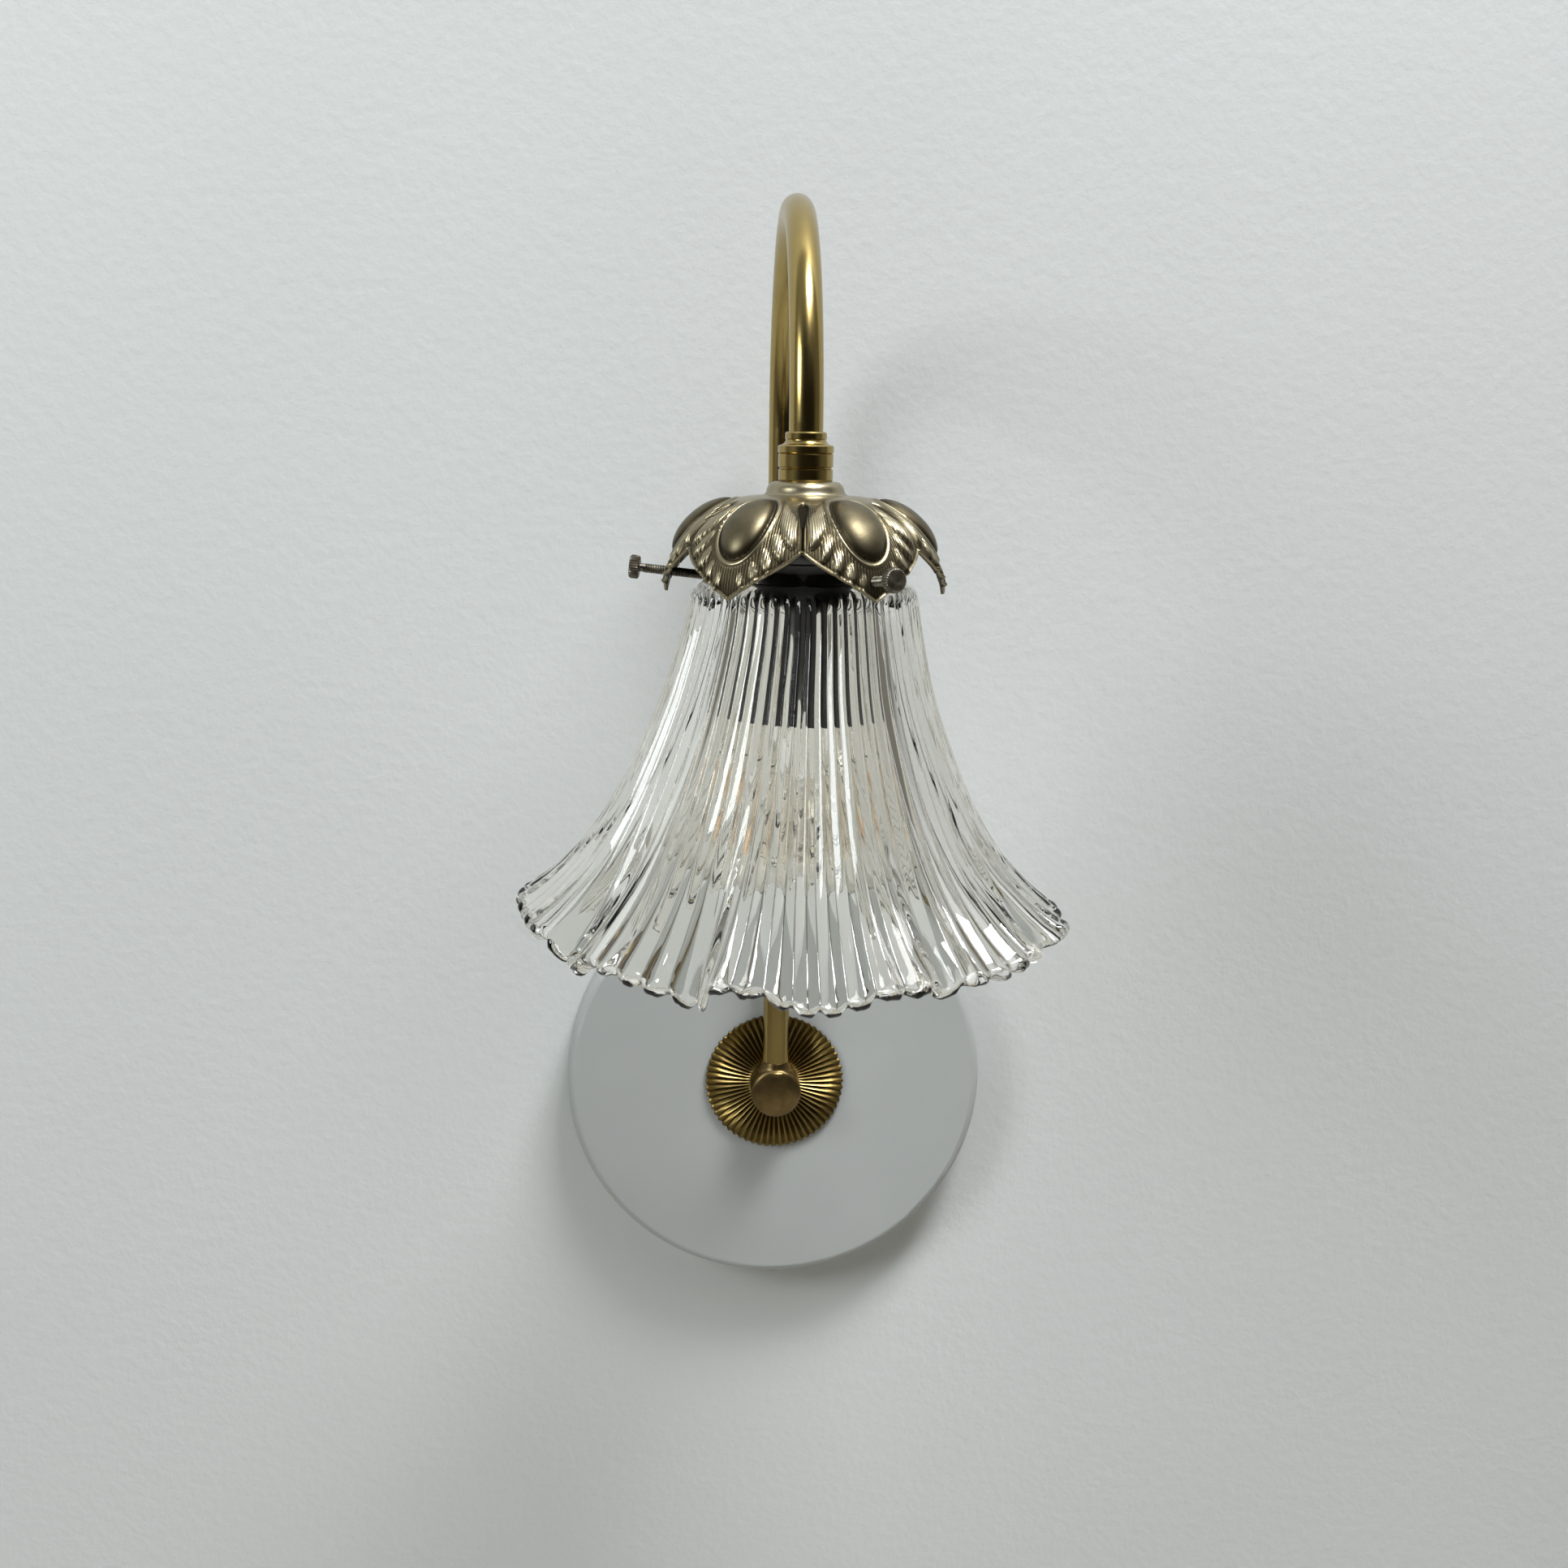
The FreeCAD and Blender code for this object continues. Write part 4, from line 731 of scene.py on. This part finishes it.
# the wall is open behind the plate, as it is where the cable comes out, so that light gets in to
# show the back of the light
WALL_HOLE, SHEET_HALF, FLOOR_UP = 0.076, 2.5, -0.9
wall_sheet = bmesh.new()
bmesh.ops.create_circle(wall_sheet, cap_ends=False, radius=WALL_HOLE, segments=64)
outer_ring = bmesh.ops.extrude_edge_only(wall_sheet, edges=wall_sheet.edges[:])["geom"]
for vert in [part for part in outer_ring if isinstance(part, bmesh.types.BMVert)]:
    vert.co *= SHEET_HALF / max(abs(vert.co.x), abs(vert.co.y))
bmesh.ops.transform(wall_sheet, verts=wall_sheet.verts,
                    matrix=Matrix.Translation((0, 0.0006, 0)) @ Matrix.Rotation(math.pi / 2, 4, "X"))
for face in wall_sheet.faces:
    face.normal_update()
    if face.normal.y > 0:
        face.normal_flip()
floor_sheet = bmesh.new()
bmesh.ops.create_grid(floor_sheet, x_segments=1, y_segments=1, size=SHEET_HALF,
                      matrix=Matrix.Translation((0, -SHEET_HALF, FLOOR_UP)))
for sheet_name, sheet_mesh, sheet_finish in (("studio_wall", wall_sheet, plaster),
                                             ("studio_floor", floor_sheet, screed)):
    sheet_data = bpy.data.meshes.new(sheet_name)
    sheet_mesh.to_mesh(sheet_data)
    sheet_mesh.free()
    sheet_data.materials.append(sheet_finish)
    sheet_piece = bpy.data.objects.new(sheet_name, sheet_data)
    bpy.context.scene.collection.objects.link(sheet_piece)

for lamp_name, spot, target, width, height, power, colour in (
        ("window_light", (-1.25, -1.0, 0.85), (0, -0.08, 0.0), 0.5, 0.6, 11.0, "#F4FAFD"),
        ("ceiling_light", (0.62, -0.78, 2.2), (0, -0.05, 0.1), 0.9, 0.5, 68.0, "#FAFBFF")):
    light = bpy.data.lights.new(lamp_name, "AREA")
    light.shape = "RECTANGLE"
    light.size, light.size_y, light.energy = width, height, power
    light.color = linear(colour)[:3]
    holder = bpy.data.objects.new(lamp_name, light)
    bpy.context.scene.collection.objects.link(holder)
    holder.location = spot
    holder.rotation_euler = (Vector(target) - Vector(spot)).to_track_quat("-Z", "Y").to_euler()

# The room: pale to the camera, and to the metal and glass a dim room with a brighter ceiling.
world = bpy.data.worlds.new("room")
bpy.context.scene.world = world
world.use_nodes = True
air = world.node_tree.nodes["Background"]
place = add(world, "TexCoord")
way = add(world, "SeparateXYZ", feeds={"Vector": place.outputs["Generated"]})
height = add(world, "MapRange", feeds={"Value": way.outputs["Z"], "From Min": -0.6, "From Max": 0.8})
room = add(world, "ValToRGB", feeds={"Fac": height.outputs["Result"]},
           stops=[(0.0, "#4A4640"), (0.38, "#45423E"), (0.62, "#6C6C6A"), (1.0, "#9A9C9D")])
# the walls at either side are a little lighter than the rest
aside = add(world, "Math", {"operation": "ABSOLUTE"}, {0: way.outputs["X"]})
flank = add(world, "MapRange", {"interpolation_type": "SMOOTHSTEP"},
            {"Value": aside.outputs["Value"], "From Min": 0.5, "From Max": 0.9})
walls = add(world, "Mix", {"data_type": "RGBA"}, {0: flank.outputs["Result"], 6: room.outputs["Color"],
                                                  7: linear("#74726C")})
ahead = add(world, "MapRange", {"interpolation_type": "SMOOTHSTEP"},
            {"Value": way.outputs["Y"], "From Min": -0.32, "From Max": -0.8})
rays = add(world, "LightPath")
# through the glass the room ahead looks paler than it does in the metal
not_through = add(world, "Math", {"operation": "MULTIPLY_ADD"},
                  {0: rays.outputs["Is Transmission Ray"], 1: -0.85, 2: 1.0})
share = add(world, "Math", {"operation": "MULTIPLY"}, {0: ahead.outputs["Result"],
                                                      1: not_through.outputs["Value"]})
dim = add(world, "Mix", {"data_type": "RGBA"}, {0: share.outputs["Value"], 6: walls.outputs[2],
                                                7: linear("#15120F")})
seen = add(world, "Mix", {"data_type": "RGBA"}, {0: rays.outputs["Is Camera Ray"], 6: dim.outputs[2],
                                                 7: linear("#D9DCDD")})
world.node_tree.links.new(seen.outputs[2], air.inputs["Color"])
air.inputs["Strength"].default_value = 1.0

lens = bpy.data.cameras.new("photo_camera")
lens.sensor_fit, lens.sensor_width, lens.lens = "HORIZONTAL", 36.0, 40.68
camera = bpy.data.objects.new("photo_camera", lens)
bpy.context.scene.collection.objects.link(camera)
CAMERA_SPOT = (-0.033661, -0.685329, 0.245343)
pitch, yaw, roll = math.radians(10.607), math.radians(3.092), math.radians(0.662)
ahead_way = Vector((math.sin(yaw) * math.cos(pitch), math.cos(yaw) * math.cos(pitch), -math.sin(pitch)))
right_way = ahead_way.cross(Vector((0, 0, 1))).normalized()
up_way = right_way.cross(ahead_way)
tilted_right = right_way * math.cos(roll) + up_way * math.sin(roll)
tilted_up = up_way * math.cos(roll) - right_way * math.sin(roll)
camera.matrix_world = Matrix.Translation(CAMERA_SPOT) \
    @ Matrix((tilted_right, tilted_up, -ahead_way)).transposed().to_4x4()
bpy.context.scene.camera = camera
bpy.context.scene.view_settings.view_transform = "Standard"
